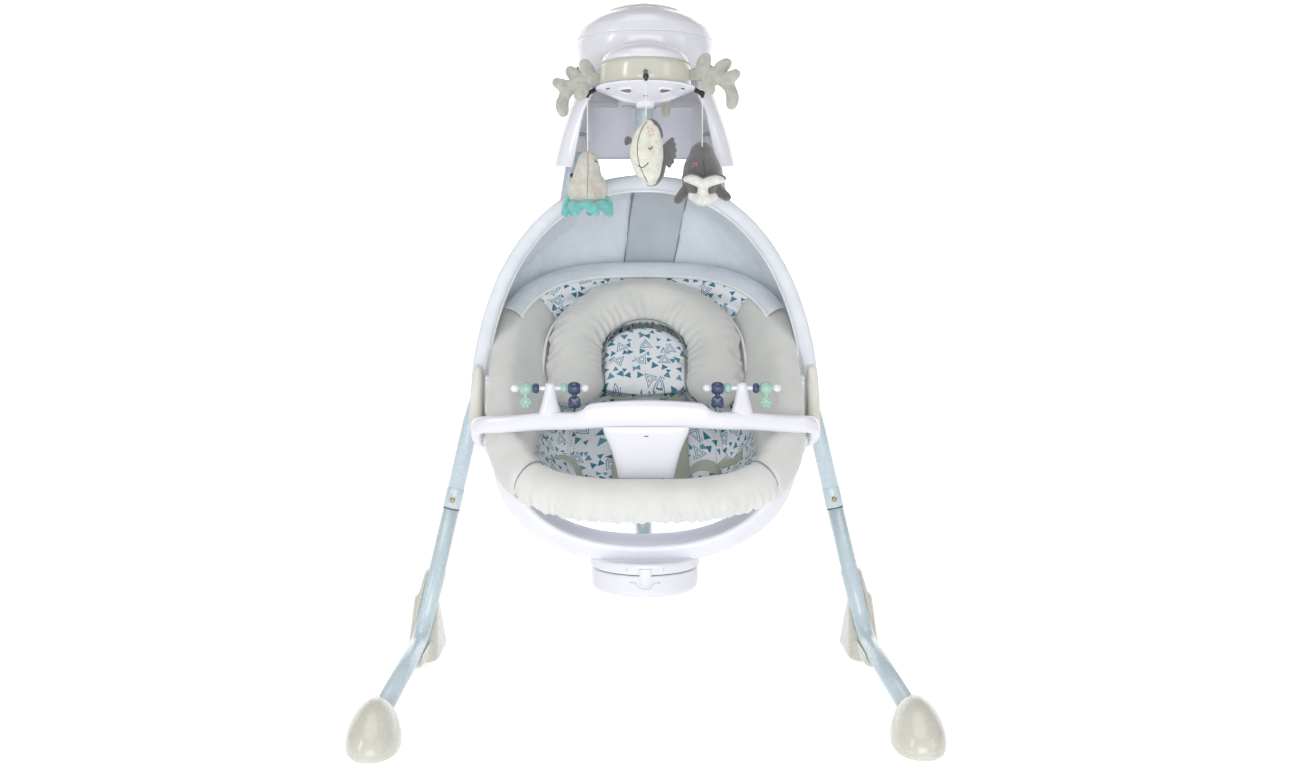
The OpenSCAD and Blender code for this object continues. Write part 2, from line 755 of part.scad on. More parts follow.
module toy_axles() {
    color("whitesmoke") both_sides() translate([toy_post_x, toy_axle_y, toy_axle_z]) {
        translate([-axle_half_l, 0, 0]) rotate([0, 90, 0]) cylinder(r = toy_axle_r, h = 2 * axle_half_l);
        for (s = [-1, 1]) {
            translate([s * axle_half_l, 0, 0]) sphere(r = 6.5);
            // Fixed bead beside each turning toy
            translate([s * bead_offset - 4.5, 0, 0]) rotate([0, 90, 0]) cylinder(r = 7, h = 9);
        }
    }
}

// Barrel that turns on its axle, with a flat charm hanging from it
module spinner(x) {
    translate([x, toy_axle_y, toy_axle_z]) difference() {
        union() {
            rotate([0, 90, 0]) cylinder(r = 9, h = 16, center = true);
            translate([-3.5, -2.5, -14]) cube([7, 5, 9]);
            translate([0, 2.5, -19]) rotate([90, 0, 0]) cylinder(r = 8.5, h = 5);
        }
        rotate([0, 90, 0]) cylinder(r = toy_axle_r + 0.1, h = 40, center = true);
    }
}
module spinner_1() color("mediumaquamarine") spinner(-toy_post_x - spinner_offset);
module spinner_2() color("darkslateblue") spinner(-toy_post_x + spinner_offset);
module spinner_3() color("darkslateblue") spinner(toy_post_x - spinner_offset);
module spinner_4() color("mediumaquamarine") spinner(toy_post_x + spinner_offset);

// ---- Mobile ----

module mobile_hub() {
    color("darkkhaki") leaned() translate([0, hub_axis_y, 0]) difference() {
        translate([0, 0, hub_bottom_z]) cylinder(r = hub_r, h = hub_top_z - hub_bottom_z);
        translate([0, 0, hub_bottom_z - 1]) cylinder(r = hub_r - 3, h = hub_top_z - hub_bottom_z - 3);
        translate([0, 0, 940]) cylinder(r = 3.05, h = 40);
    }
}

// Shallow bowl under the hub
module mobile_bowl() {
    color("white") leaned() translate([0, hub_axis_y, 0]) rotate_extrude($fn = 64)
        polygon([
            [0, 911], [13, 911], [14, 918], [30, 920], [48, 926], [62, 933], [bowl_r, 937.5],
            [bowl_r, 939], [58, 938], [44, 931], [28, 925], [0, 923]
        ]);
}

function peg_tip(azimuth) =
    [peg_reach * cos(azimuth), hub_axis_y + peg_reach * sin(azimuth), peg_root_z - peg_droop];

// Solid through round sections of changing radius; the path lies in the XZ plane
module bulged(path, radii, sides) {
    n = len(path);
    loft([for (i = [0 : n - 1])
        let (side = unit(cross([0, 1, 0], tangent(path, i, false))))
        [for (q = circle_points(radii[i], sides)) path[i] + q.x * side + [0, q.y, 0]]]);
}

// Black pegs that the strings hang from, each with a rounded tip
module mobile_pegs() {
    run = peg_reach - hub_r;
    dir = unit([run, 0, -peg_droop]);
    tip = [peg_reach, 0, peg_root_z - peg_droop];
    path = concat(
        [[hub_r + 1.2, 0, peg_root_z]], [for (d = [-6, -3, -1, 1, 2.5, 3.5]) tip + d * dir]
    );
    color("black") leaned() for (a = peg_azimuths)
        translate([0, hub_axis_y, 0]) rotate([0, 0, a]) bulged(path, [3.5, 3.2, 3.6, 4, 3.8, 3, 1.6], 12);
}

// Plush leaf sprays on the hub
leaf_azimuths = [162, -14, 74];
leaf_path = [
    [0, 6], [8, 8], [18, 11], [28, 9], [38, 9], [48, 3], [56, 0], [61, -10], [63, -20], [62, -32], [60, -40]
];
leaf_radii = [5, 6, 11, 8, 12, 8, 11, 8, 11, 8, 3];
module leaf_spray() bulged([for (p = leaf_path) [hub_r + 1.6 + p.x, 0, 949 + p.y]], leaf_radii, 12);
module leaf_branches() {
    color("darkseagreen") leaned() for (a = leaf_azimuths)
        translate([0, hub_axis_y, 0]) rotate([0, 0, a]) leaf_spray();
}

function string_top(i) = lean_point(peg_tip(peg_azimuths[i])) - [0, 0, 4.3];
function string_bottom(i) = string_top(i) - [0, 0, string_lengths[i]];
string_rings = 6;
module mobile_strings() {
    color("white") for (i = [0 : 2]) {
        path = [for (k = [0 : string_rings]) lerp(string_bottom(i), string_top(i), k / string_rings)];
        sweep(path, circle_points(string_d / 2, 8), [1, 0, 0]);
    }
}

// Plush toys, each hanging on its string
module fish() {
    color("beige") translate(string_bottom(0) - [0, 0, 0.3]) {
        translate([0, 0, -48]) rotate_extrude($fn = 28)
            polygon([for (i = [0 : 10]) [22 * sin(i * 18), -48 * cos(i * 18)]]);
        translate([27, 6, -42]) rotate([90, 0, 0]) cylinder(r = 15, h = 8);
        translate([0, 0, -6]) cylinder(r = 3, h = 6);
    }
}
module whale() {
    color("dimgray") translate(string_bottom(1) - [0, 0, 0.3]) {
        translate([0, 0, -30]) sphere(r = 30);
        translate([0, -26, -36]) sphere(r = 10);
        both_sides() translate([14, -30, -29]) sphere(r = 9);
        both_sides() translate([20, 0, -40]) rotate([0, 120, 0]) cylinder(r = 8, h = 18);
        translate([0, 0, -6]) cylinder(r = 3, h = 6);
    }
}
module jellyfish() {
    color("lightgray") translate(string_bottom(2) - [0, 0, 0.3]) rotate_extrude($fn = 32)
        polygon([
            [0, 0], [8, -2], [14, -12], [20, -30], [27, -52], [31, -66], [38, -74], [38, -84],
            [30, -94], [0, -92]
        ]);
}

// ---- Output ----

upper_leg_left();
upper_leg_right();
lower_leg_left();
lower_leg_right();
heel_foot_left();
heel_foot_right();
front_foot_left();
front_foot_right();
leg_rivets();
leg_button_left();
leg_button_right();
head_lower_shell();
head_upper_shell();
control_panel();
panel_button_1();
panel_button_2();
panel_button_3();
panel_button_4();
panel_button_5();
head_chassis();
drive_coil();
mobile_motor();
axle_bearings();
swing_axle();
arm_hub();
arm_tube();
drive_magnet();
swivel_cup();
swivel_collar();
seat_hoop();
side_bracket_left();
side_bracket_right();
seat_rim();
seat_bucket();
bolster_left();
bolster_right();
front_roll();
rear_roll();
head_pillow();
pillow_pad();
harness_straps();
harness_buckle();
canopy_bow();
canopy_hood();
canopy_flaps();
tray_bar();
crotch_post();
toy_axles();
spinner_1();
spinner_2();
spinner_3();
spinner_4();
mobile_hub();
mobile_bowl();
mobile_pegs();
leaf_branches();
jellyfish();
fish();
whale();
mobile_strings();
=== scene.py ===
# Baby swing: the looks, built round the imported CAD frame. Sizes are in millimetres
# in the row frame: +Z up, the seat faces -Y, the floor is at Z 0.
import json
import math

import bpy
import numpy as np
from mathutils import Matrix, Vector

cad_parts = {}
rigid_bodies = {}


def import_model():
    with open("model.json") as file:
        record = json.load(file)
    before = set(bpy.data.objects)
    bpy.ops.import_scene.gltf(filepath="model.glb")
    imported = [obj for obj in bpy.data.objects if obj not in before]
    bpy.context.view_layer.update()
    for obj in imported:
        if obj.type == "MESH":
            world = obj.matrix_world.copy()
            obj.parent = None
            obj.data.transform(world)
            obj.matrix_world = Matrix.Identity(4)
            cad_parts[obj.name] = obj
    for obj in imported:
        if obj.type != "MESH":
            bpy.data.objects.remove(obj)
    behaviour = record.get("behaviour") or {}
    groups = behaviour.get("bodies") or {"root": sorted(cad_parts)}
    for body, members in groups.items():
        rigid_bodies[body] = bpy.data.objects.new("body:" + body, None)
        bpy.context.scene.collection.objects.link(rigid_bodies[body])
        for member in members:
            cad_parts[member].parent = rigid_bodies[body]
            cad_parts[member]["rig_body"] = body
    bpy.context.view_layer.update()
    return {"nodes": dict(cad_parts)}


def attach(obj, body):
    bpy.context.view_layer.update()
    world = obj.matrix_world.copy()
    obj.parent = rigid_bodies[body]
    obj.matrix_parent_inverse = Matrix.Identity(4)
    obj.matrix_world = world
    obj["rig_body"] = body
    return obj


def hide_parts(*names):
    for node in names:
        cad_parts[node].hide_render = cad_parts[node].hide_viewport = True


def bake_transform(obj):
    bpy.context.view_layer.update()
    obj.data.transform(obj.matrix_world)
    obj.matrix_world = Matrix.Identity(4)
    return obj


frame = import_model()

MM = 0.001

# ---- Sizes shared with the CAD source ----
TUBE_R = 14
LEG_SEAM = (328.5, 232, 255)
UPPER_LEG = [LEG_SEAM, (286, 252, 440), (130, 168, 740), (103.3, 142.9, 886.5)]
LOWER_LEG = [LEG_SEAM, (379, 190, 36), (388, -232, 36)]
ARM_TOP_Y = 87
ARM_FOOT_Z = 196.5
ARM = [(0, ARM_TOP_Y, 936), (0, 90, 880), (0, 270, 640), (0, 274, 420), (0, 260, ARM_FOOT_Z),
       (0, 34, ARM_FOOT_Z)]
SWIVEL_Y = -25
HUB_Y = -115
LEAN_PIVOT = np.array((0, -115, 985.0))
HEAD_LEAN = 5.5
SEAT_CENTRE = np.array((0, -73.5, 504.5))
RIM_TILT = 34
RIM_W, RIM_L = 219, 251
CANOPY_PIVOT = (-60, 440)
BOW_ANGLE, HOOD_REAR_ANGLE = 75, 46.5
HOOD_REAR_H, CANOPY_H, HOOD_BULGE, HOOD_W = 322, 391, 18, 267
TOY_POST_X, TOY_AXLE_Y, TOY_AXLE_Z = 136, -215, 513.5
PEG_REACH, PEG_Z = 98, 939
STRINGS = {"fish": (-90, 51), "whale": (30, 89), "jellyfish": (150, 80)}


# ---- Geometry helpers ----

def arr(points):
    return np.array(points, float)


def unit(v):
    v = arr(v)
    return v / max(np.linalg.norm(v), 1e-9)


def spow(v, p):
    return np.sign(v) * np.abs(v) ** p


def super_point(a, b, power, degrees):
    """Point of a superellipse at a parameter angle."""
    t = np.radians(degrees)
    return np.stack([a * spow(np.cos(t), 2 / power), b * spow(np.sin(t), 2 / power)], axis=-1)


def lean(points, share=1.0):
    """Leans points back about the mobile's axis, as the CAD head does."""
    d = arr(points) - LEAN_PIVOT
    angle = math.radians(HEAD_LEAN * share)
    s, c = math.sin(angle), math.cos(angle)
    turned = np.stack([d[..., 0], d[..., 1] * c + d[..., 2] * s, d[..., 2] * c - d[..., 1] * s], axis=-1)
    return turned + LEAN_PIVOT


def in_seat(points):
    """Seat frame (X across, Y up the slope, Z out of the rim) to the row frame."""
    p = arr(points)
    s, c = math.sin(math.radians(RIM_TILT)), math.cos(math.radians(RIM_TILT))
    turned = np.stack([p[..., 0], p[..., 1] * c - p[..., 2] * s, p[..., 1] * s + p[..., 2] * c], axis=-1)
    return turned + SEAT_CENTRE


def to_seat(points):
    """Row frame to the seat frame."""
    p = arr(points) - SEAT_CENTRE
    s, c = math.sin(math.radians(RIM_TILT)), math.cos(math.radians(RIM_TILT))
    return np.stack([p[..., 0], p[..., 1] * c + p[..., 2] * s, p[..., 2] * c - p[..., 1] * s], axis=-1)


def corner_arc(a, b, c, r, steps):
    a, b, c = arr(a), arr(b), arr(c)
    u, v = unit(a - b), unit(c - b)
    half = math.acos(float(np.clip(u @ v, -1, 1))) / 2
    centre = b + unit(u + v) * r / math.sin(half)
    p, q = b + u * r / math.tan(half) - centre, b + v * r / math.tan(half) - centre
    sweep = math.pi - 2 * half
    f = np.linspace(0, 1, steps + 1)[:, None]
    return centre + (np.sin((1 - f) * sweep) * p + np.sin(f * sweep) * q) / math.sin(sweep)


def rounded_path(corners, radii, steps=14):
    """A path through corner points, each inner corner rounded to its radius."""
    parts = [arr(corners[0])[None]]
    for i in range(1, len(corners) - 1):
        parts.append(corner_arc(corners[i - 1], corners[i], corners[i + 1], radii[i - 1], steps))
    parts.append(arr(corners[-1])[None])
    return np.concatenate(parts)


def catmull(rows, steps):
    """Smooth curve through rows of numbers, with steps points per gap."""
    rows = arr(rows)
    padded = np.concatenate([2 * rows[:1] - rows[1:2], rows, 2 * rows[-1:] - rows[-2:-1]])
    out = []
    for i in range(len(rows) - 1):
        p0, p1, p2, p3 = padded[i : i + 4]
        for k in range(steps):
            t = k / steps
            out.append(0.5 * (2 * p1 + (p2 - p0) * t + (2 * p0 - 5 * p1 + 4 * p2 - p3) * t**2
                              + (3 * p1 - p0 - 3 * p2 + p3) * t**3))
    out.append(rows[-1])
    return arr(out)


def frames_along(path, closed=False, up=(0, 0, 1)):
    """Tangent, side and up vectors along a path, without twist."""
    path = arr(path)
    if closed:
        t = np.roll(path, -1, 0) - np.roll(path, 1, 0)
    else:
        t = np.gradient(path, axis=0)
    t = t / np.linalg.norm(t, axis=1)[:, None]
    first = np.cross(up, t[0])
    if np.linalg.norm(first) < 0.05:
        first = np.cross((1, 0, 0), t[0])
    sides = [unit(first)]
    for i in range(1, len(path)):
        s = sides[-1] - (sides[-1] @ t[i]) * t[i]
        sides.append(unit(s))
    sides = arr(sides)
    return t, sides, np.cross(t, sides)


def ref_frames(path, ref, closed=False):
    """Tangent, side and up vectors with the side square to a fixed direction."""
    path = arr(path)
    t = (np.roll(path, -1, 0) - np.roll(path, 1, 0)) if closed else np.gradient(path, axis=0)
    t = t / np.linalg.norm(t, axis=1)[:, None]
    side = np.cross(np.broadcast_to(arr(ref), t.shape), t)
    side = side / np.linalg.norm(side, axis=1)[:, None]
    return t, side, np.cross(t, side)


def ring_points(radii, sides, path, side, up):
    """Round sections along a path; radii is one number or one per point."""
    a = np.linspace(0, 2 * math.pi, sides, endpoint=False)
    r = np.broadcast_to(arr(radii), (len(path),))[:, None, None]
    return (path[:, None] + r * (np.cos(a)[None, :, None] * side[:, None]
                                 + np.sin(a)[None, :, None] * up[:, None]))


def build(name, points, faces, body, material, slot=None, smooth=True, uv=None):
    """A mesh object from points in millimetres; it rides on a CAD body unless body is None."""
    mesh = bpy.data.meshes.new(name)
    mesh.from_pydata((arr(points) * MM).tolist(), [], [list(map(int, f)) for f in faces])
    if uv is not None:
        layer = mesh.uv_layers.new(name="UVMap")
        layer.data.foreach_set("uv", (arr(uv) * MM).ravel())
    mesh.validate()
    mesh.polygons.foreach_set("use_smooth", [smooth] * len(mesh.polygons))
    obj = bpy.data.objects.new(name, mesh)
    bpy.context.scene.collection.objects.link(obj)
    if material is not None:
        mesh.materials.append(material)
    if body:
        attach(obj, body)
    return obj


def grid_faces(rows, cols, wrap_cols=False, wrap_rows=False):
    faces = []
    for i in range(rows if wrap_rows else rows - 1):
        for j in range(cols if wrap_cols else cols - 1):
            i2, j2 = (i + 1) % rows, (j + 1) % cols
            faces.append((i * cols + j, i * cols + j2, i2 * cols + j2, i2 * cols + j))
    return faces


def loft(name, rings, body, material, slot=None, caps=True, closed=False, smooth=True):
    """Skin over rings of points, with its ends closed by fans."""
    rings = arr(rings)
    rows, cols = rings.shape[:2]
    points = rings.reshape(-1, 3)
    faces = grid_faces(rows, cols, True, closed)
    if caps and not closed:
        points = np.concatenate([points, rings[0].mean(0)[None], rings[-1].mean(0)[None]])
        n = rows * cols
        faces += [(n, (j + 1) % cols, j) for j in range(cols)]
        faces += [(n + 1, (rows - 1) * cols + j, (rows - 1) * cols + (j + 1) % cols) for j in range(cols)]
    return build(name, points, faces, body, material, slot, smooth)


def sheet(name, grid, body, material, slot=None, uv=None, wrap=False):
    """A sheet through a grid of points; uv is a grid of the same size, in millimetres."""
    grid = arr(grid)
    rows, cols = grid.shape[:2]
    faces = grid_faces(rows, cols, wrap)
    loops = None
    if uv is not None:
        loops = arr([arr(uv).reshape(-1, 2)[v] for f in faces for v in f])
    return build(name, grid.reshape(-1, 3), faces, body, material, slot, uv=loops)


def round_ends(r, length, steps=5, bulge=1.0):
    """(offset, radius) stations of a rod with rounded ends."""
    a = np.radians(np.linspace(0, 90, steps + 1))
    start = [(r * bulge * (1 - math.cos(x)), r * math.sin(x)) for x in a]
    start[0] = (0, r * 0.05)
    end = [(length - o, rr) for o, rr in reversed(start)]
    return start + end


def tube(name, path, r, body, material, slot=None, sides=24, closed=False, ref=None, caps=True):
    path = arr(path)
    _, side, up = ref_frames(path, ref, closed) if ref is not None else frames_along(path, closed)
    return loft(name, ring_points(r, sides, path, side, up), body, material, slot, caps, closed)


def rod(name, a, b, r, body, material, slot=None, sides=24, bulge=0.35):
    """Straight rod with softly rounded ends."""
    a, b = arr(a), arr(b)
    length = float(np.linalg.norm(b - a))
    stations = round_ends(r, length, 4, bulge)
    path = arr([a + unit(b - a) * o for o, _ in stations])
    t = np.broadcast_to(unit(b - a), path.shape)
    first = np.cross((0, 0, 1), t[0])
    if np.linalg.norm(first) < 0.05:
        first = np.cross((0, 1, 0), t[0])
    side = np.broadcast_to(unit(first), path.shape)
    rings = ring_points([rr for _, rr in stations], sides, path, side, np.cross(t, side))
    return loft(name, rings, body, material, slot)


def turned(name, profile, centre, body, material, slot=None, sides=64, axis=(0, 0, 1), leaned=False):
    """Solid of revolution of (radius, height) points about an axis through centre."""
    profile = arr(profile)
    axis = unit(axis)
    side = unit(np.cross((0, 1, 0), axis)) if abs(axis[1]) < 0.9 else unit(np.cross((1, 0, 0), axis))
    up = np.cross(axis, side)
    path = arr(centre) + profile[:, 1:2] * axis
    n = len(path)
    rings = ring_points(np.maximum(profile[:, 0], 0.01), sides, path,
                        np.broadcast_to(side, (n, 3)), np.broadcast_to(up, (n, 3)))
    return loft(name, lean(rings) if leaned else rings, body, material, slot)


def mod(obj, kind, **values):
    m = obj.modifiers.new(kind.title(), kind)
    for key, value in values.items():
        setattr(m, key, value)
    return m


def apply_all(obj):
    """Bakes the modifiers into the mesh."""
    bpy.context.view_layer.update()
    graph = bpy.context.evaluated_depsgraph_get()
    made = bpy.data.meshes.new_from_object(obj.evaluated_get(graph), depsgraph=graph)
    obj.modifiers.clear()
    obj.data = made
    return obj


def mesh_points(obj):
    co = np.zeros(len(obj.data.vertices) * 3)
    obj.data.vertices.foreach_get("co", co)
    return co.reshape(-1, 3) / MM


def mesh_normals(obj):
    no = np.zeros(len(obj.data.vertices) * 3)
    obj.data.vertices.foreach_get("normal", no)
    return no.reshape(-1, 3)


def set_points(obj, points):
    obj.data.vertices.foreach_set("co", (arr(points) * MM).ravel())
    obj.data.update()


def waves(points, seed, scale, octaves=3):
    """Smooth, seeded noise from -1 to 1 at points in millimetres; scale is its wavelength."""
    source = np.random.default_rng(seed)
    total = np.zeros(len(points))
    size = 1.0
    for k in range(octaves):
        for _ in range(6):
            d = unit(source.normal(size=3)) * 2 * math.pi / (scale / 2**k) * source.uniform(0.7, 1.3)
            total += size * np.sin(points @ d + source.uniform(0, 6.28))
        size *= 0.5
    return total / 6


# ---- Materials ----

def srgb(r, g, b):
    """Linear colour of an 8-bit screen colour."""
    out = []
    for v in (r, g, b):
        c = v / 255
        out.append(c / 12.92 if c <= 0.04045 else ((c + 0.055) / 1.055) ** 2.4)
    return (*out, 1.0)


def shade(color, factor):
    return (*(min(1, c * factor) for c in color[:3]), 1.0)


def node(tree, kind, settings=None, **inputs):
    """Adds a node; an input is named (spaces as _) or numbered (_0), and takes a value or a socket."""
    n = tree.nodes.new(kind)
    for key, value in (settings or {}).items():
        setattr(n, key, value)
    for key, value in inputs.items():
        socket = n.inputs[int(key[1:])] if key[0] == "_" else n.inputs[key.replace("_", " ")]
        if isinstance(value, bpy.types.NodeSocket):
            tree.links.new(value, socket)
        else:
            socket.default_value = value
    return n


def math_node(tree, operation, a, b=0.0, c=0.0):
    return node(tree, "ShaderNodeMath", {"operation": operation}, _0=a, _1=b, _2=c).outputs[0]


def mixed(tree, factor, a, b):
    n = node(tree, "ShaderNodeMix", {"data_type": "RGBA"}, _0=factor, _6=a, _7=b)
    return n.outputs[2]


def ramp(tree, value, low, high, out_low=0.0, out_high=1.0):
    n = node(tree, "ShaderNodeMapRange", {"interpolation_type": "SMOOTHSTEP"},
             Value=value, From_Min=low, From_Max=high, To_Min=out_low, To_Max=out_high)
    return n.outputs[0]


def start(name):
    mat = bpy.data.materials.new(name)
    mat.use_nodes = True
    tree = mat.node_tree
    tree.nodes.clear()
    surface = node(tree, "ShaderNodeBsdfPrincipled")
    out = tree.nodes.new("ShaderNodeOutputMaterial")
    tree.links.new(surface.outputs[0], out.inputs[0])
    coords = node(tree, "ShaderNodeTexCoord")
    return mat, tree, surface, coords


def noise(tree, coords, scale, detail=3.0, rough=0.5):
    return node(tree, "ShaderNodeTexNoise", Vector=coords, Scale=scale, Detail=detail,
                Roughness=rough).outputs[0]


def cells(tree, coords, scale):
    return node(tree, "ShaderNodeTexVoronoi", Vector=coords, Scale=scale).outputs[0]


def bump(tree, height, strength, distance, normal=None):
    n = node(tree, "ShaderNodeBump", Height=height, Strength=strength, Distance=distance)
    if normal is not None:
        tree.links.new(normal, n.inputs["Normal"])
    return n.outputs[0]


def plastic(name, color, rough=0.22, coat=0.35, grain=0.04, grain_scale=900):
    """Moulded plastic: faint flow marks, uneven gloss and a fine skin."""
    mat, tree, surface, coords = start(name)
    at = coords.outputs["Object"]
    flow = noise(tree, at, 9, 2)
    tree.links.new(mixed(tree, ramp(tree, flow, 0.35, 0.65), shade(color, 0.965), color),
                   surface.inputs["Base Color"])
    tree.links.new(ramp(tree, noise(tree, at, 55, 4), 0.3, 0.7, rough - 0.04, rough + 0.05),
                   surface.inputs["Roughness"])
    fine = bump(tree, noise(tree, at, grain_scale, 2), grain, 0.0004)
    tree.links.new(bump(tree, noise(tree, at, 30, 2), 0.05, 0.0012, fine), surface.inputs["Normal"])
    surface.inputs["Coat Weight"].default_value = coat
    surface.inputs["Coat Roughness"].default_value = 0.06
    surface.inputs["IOR"].default_value = 1.5
    return mat


def paint(name, color):
    """Powder coat on steel tube: fine orange peel under a clear gloss."""
    mat, tree, surface, coords = start(name)
    at = coords.outputs["Object"]
    patch = noise(tree, at, 14, 3)
    tree.links.new(mixed(tree, ramp(tree, patch, 0.3, 0.7), shade(color, 0.96), shade(color, 1.03)),
                   surface.inputs["Base Color"])
    tree.links.new(ramp(tree, noise(tree, at, 120, 4), 0.3, 0.7, 0.2, 0.32), surface.inputs["Roughness"])
    peel = bump(tree, noise(tree, at, 420, 3), 0.08, 0.0006)
    tree.links.new(bump(tree, cells(tree, at, 160), 0.03, 0.0008, peel), surface.inputs["Normal"])
    surface.inputs["Coat Weight"].default_value = 0.5
    surface.inputs["Coat Roughness"].default_value = 0.1
    return mat


def metal(name, color, rough=0.3, scale=(30, 30, 900)):
    """Drawn or brushed metal: streaks along one direction."""
    mat, tree, surface, coords = start(name)
    stretch = node(tree, "ShaderNodeMapping", Vector=coords.outputs["Object"], Scale=scale)
    streak = noise(tree, stretch.outputs[0], 2, 5)
    tree.links.new(mixed(tree, streak, shade(color, 0.85), shade(color, 1.1)), surface.inputs["Base Color"])
    tree.links.new(ramp(tree, streak, 0.2, 0.8, rough - 0.08, rough + 0.1), surface.inputs["Roughness"])
    tree.links.new(bump(tree, streak, 0.15, 0.0003), surface.inputs["Normal"])
    surface.inputs["Metallic"].default_value = 1.0
    return mat


def cloth_surface(tree, surface, at, color, thread_mm=0.9, crumple=0.25, fuzz=0.25, sheen=0.3):
    """Thread, slight mottling and small crumples for any woven or knitted cloth; color may be a socket."""
    thread = cells(tree, at, 1000 / thread_mm)
    fibre = noise(tree, at, 2600 / thread_mm, 3, 0.7)
    mottle = noise(tree, at, 22, 4)
    tone = math_node(tree, "ADD", ramp(tree, thread, 0.0, 0.7, 1.03, 0.93),
                     ramp(tree, mottle, 0.3, 0.7, -0.03, 0.03))
    tint = node(tree, "ShaderNodeHueSaturation", Color=color, Value=tone)
    tree.links.new(tint.outputs[0], surface.inputs["Base Color"])
    tree.links.new(ramp(tree, fibre, 0.2, 0.8, 0.78, 0.95), surface.inputs["Roughness"])
    fold = bump(tree, noise(tree, at, 38, 5, 0.6), crumple, 0.006)
    weave = bump(tree, thread, 0.35, 0.0005, fold)
    tree.links.new(bump(tree, fibre, fuzz, 0.0005, weave), surface.inputs["Normal"])
    surface.inputs["Sheen Weight"].default_value = sheen
    surface.inputs["Sheen Roughness"].default_value = 0.45
    surface.inputs["Specular IOR Level"].default_value = 0.25
    return tint


def cloth(name, color, **options):
    mat, tree, surface, coords = start(name)
    cloth_surface(tree, surface, coords.outputs["Object"], color, **options)
    return mat


def plush(name, color, pile_mm=1.6):
    """Short plush: clumped pile with a soft edge glow."""
    mat, tree, surface, coords = start(name)
    at = coords.outputs["Object"]
    pile = noise(tree, at, 1000 / pile_mm, 4, 0.75)
    clump = noise(tree, at, 130, 4, 0.6)
    tone = math_node(tree, "ADD", ramp(tree, pile, 0.25, 0.75, 0.82, 1.06),
                     ramp(tree, clump, 0.3, 0.7, -0.1, 0.1))
    tint = node(tree, "ShaderNodeHueSaturation", Color=color, Value=tone)
    tree.links.new(tint.outputs[0], surface.inputs["Base Color"])
    surface.inputs["Roughness"].default_value = 0.95
    soft = bump(tree, clump, 0.5, 0.003)
    tree.links.new(bump(tree, pile, 0.8, 0.0012, soft), surface.inputs["Normal"])
    surface.inputs["Sheen Weight"].default_value = 0.6
    surface.inputs["Sheen Roughness"].default_value = 0.6
    surface.inputs["Specular IOR Level"].default_value = 0.15
    return mat


def webbing(name, color, rib_mm=1.6):
    """Woven strap: ribs across the band and a thread bump."""
    mat, tree, surface, coords = start(name)
    at = node(tree, "ShaderNodeMapping", Vector=coords.outputs["UV"], Scale=(1, 1, 1)).outputs[0]
    rib = node(tree, "ShaderNodeTexWave", {"wave_type": "BANDS", "bands_direction": "Y"}, Vector=at,
               Scale=314 / rib_mm, Distortion=0.4, Detail=1.0).outputs[1]
    edge = node(tree, "ShaderNodeTexWave", {"wave_type": "BANDS", "bands_direction": "X"}, Vector=at,
                Scale=314 / 0.8, Distortion=0.2).outputs[1]
    tone = math_node(tree, "ADD", ramp(tree, rib, 0, 1, 0.78, 1.06), ramp(tree, edge, 0, 1, -0.05, 0.05))
    tint = node(tree, "ShaderNodeHueSaturation", Color=color, Value=tone)
    tree.links.new(tint.outputs[0], surface.inputs["Base Color"])
    ribs = bump(tree, rib, 0.7, 0.0006)
    tree.links.new(bump(tree, edge, 0.4, 0.0003, ribs), surface.inputs["Normal"])
    surface.inputs["Roughness"].default_value = 0.8
    surface.inputs["Sheen Weight"].default_value = 0.2
    return mat


# Spacing of the printed triangles, and how far the larger ones' two lines stand from their centre
SMALL_CELL, LARGE_CELL = 15.0, 37.0
OUTER_LINE, INNER_LINE, CLEAR_REACH = 5.3, 2.7, 7.6


def triangle_reach(tree, at, cell_mm, randomness):
    """Distance in millimetres out from a triangle in each cell, and that cell's random colour."""
    spots = node(tree, "ShaderNodeTexVoronoi", {"voronoi_dimensions": "2D"}, Vector=at, Scale=1 / cell_mm,
                 Randomness=randomness)
    pick = node(tree, "ShaderNodeSeparateColor", Color=spots.outputs["Color"])
    local = node(tree, "ShaderNodeVectorMath", {"operation": "SUBTRACT"}, _0=at,
                 _1=spots.outputs["Position"])
    angle = math_node(tree, "MULTIPLY", pick.outputs[0], math.tau)
    turn = node(tree, "ShaderNodeVectorRotate", {"rotation_type": "Z_AXIS"}, Vector=local.outputs[0],
                Angle=angle)
    xyz = node(tree, "ShaderNodeSeparateXYZ", Vector=turn.outputs[0])
    x, y = xyz.outputs[0], xyz.outputs[1]
    half_y = math_node(tree, "MULTIPLY", y, 0.5)
    right = math_node(tree, "MULTIPLY_ADD", x, 0.866, half_y)
    left = math_node(tree, "MULTIPLY_ADD", x, -0.866, half_y)
    sides = math_node(tree, "MAXIMUM", right, left)
    return math_node(tree, "MAXIMUM", sides, math_node(tree, "MULTIPLY", y, -1.0)), pick


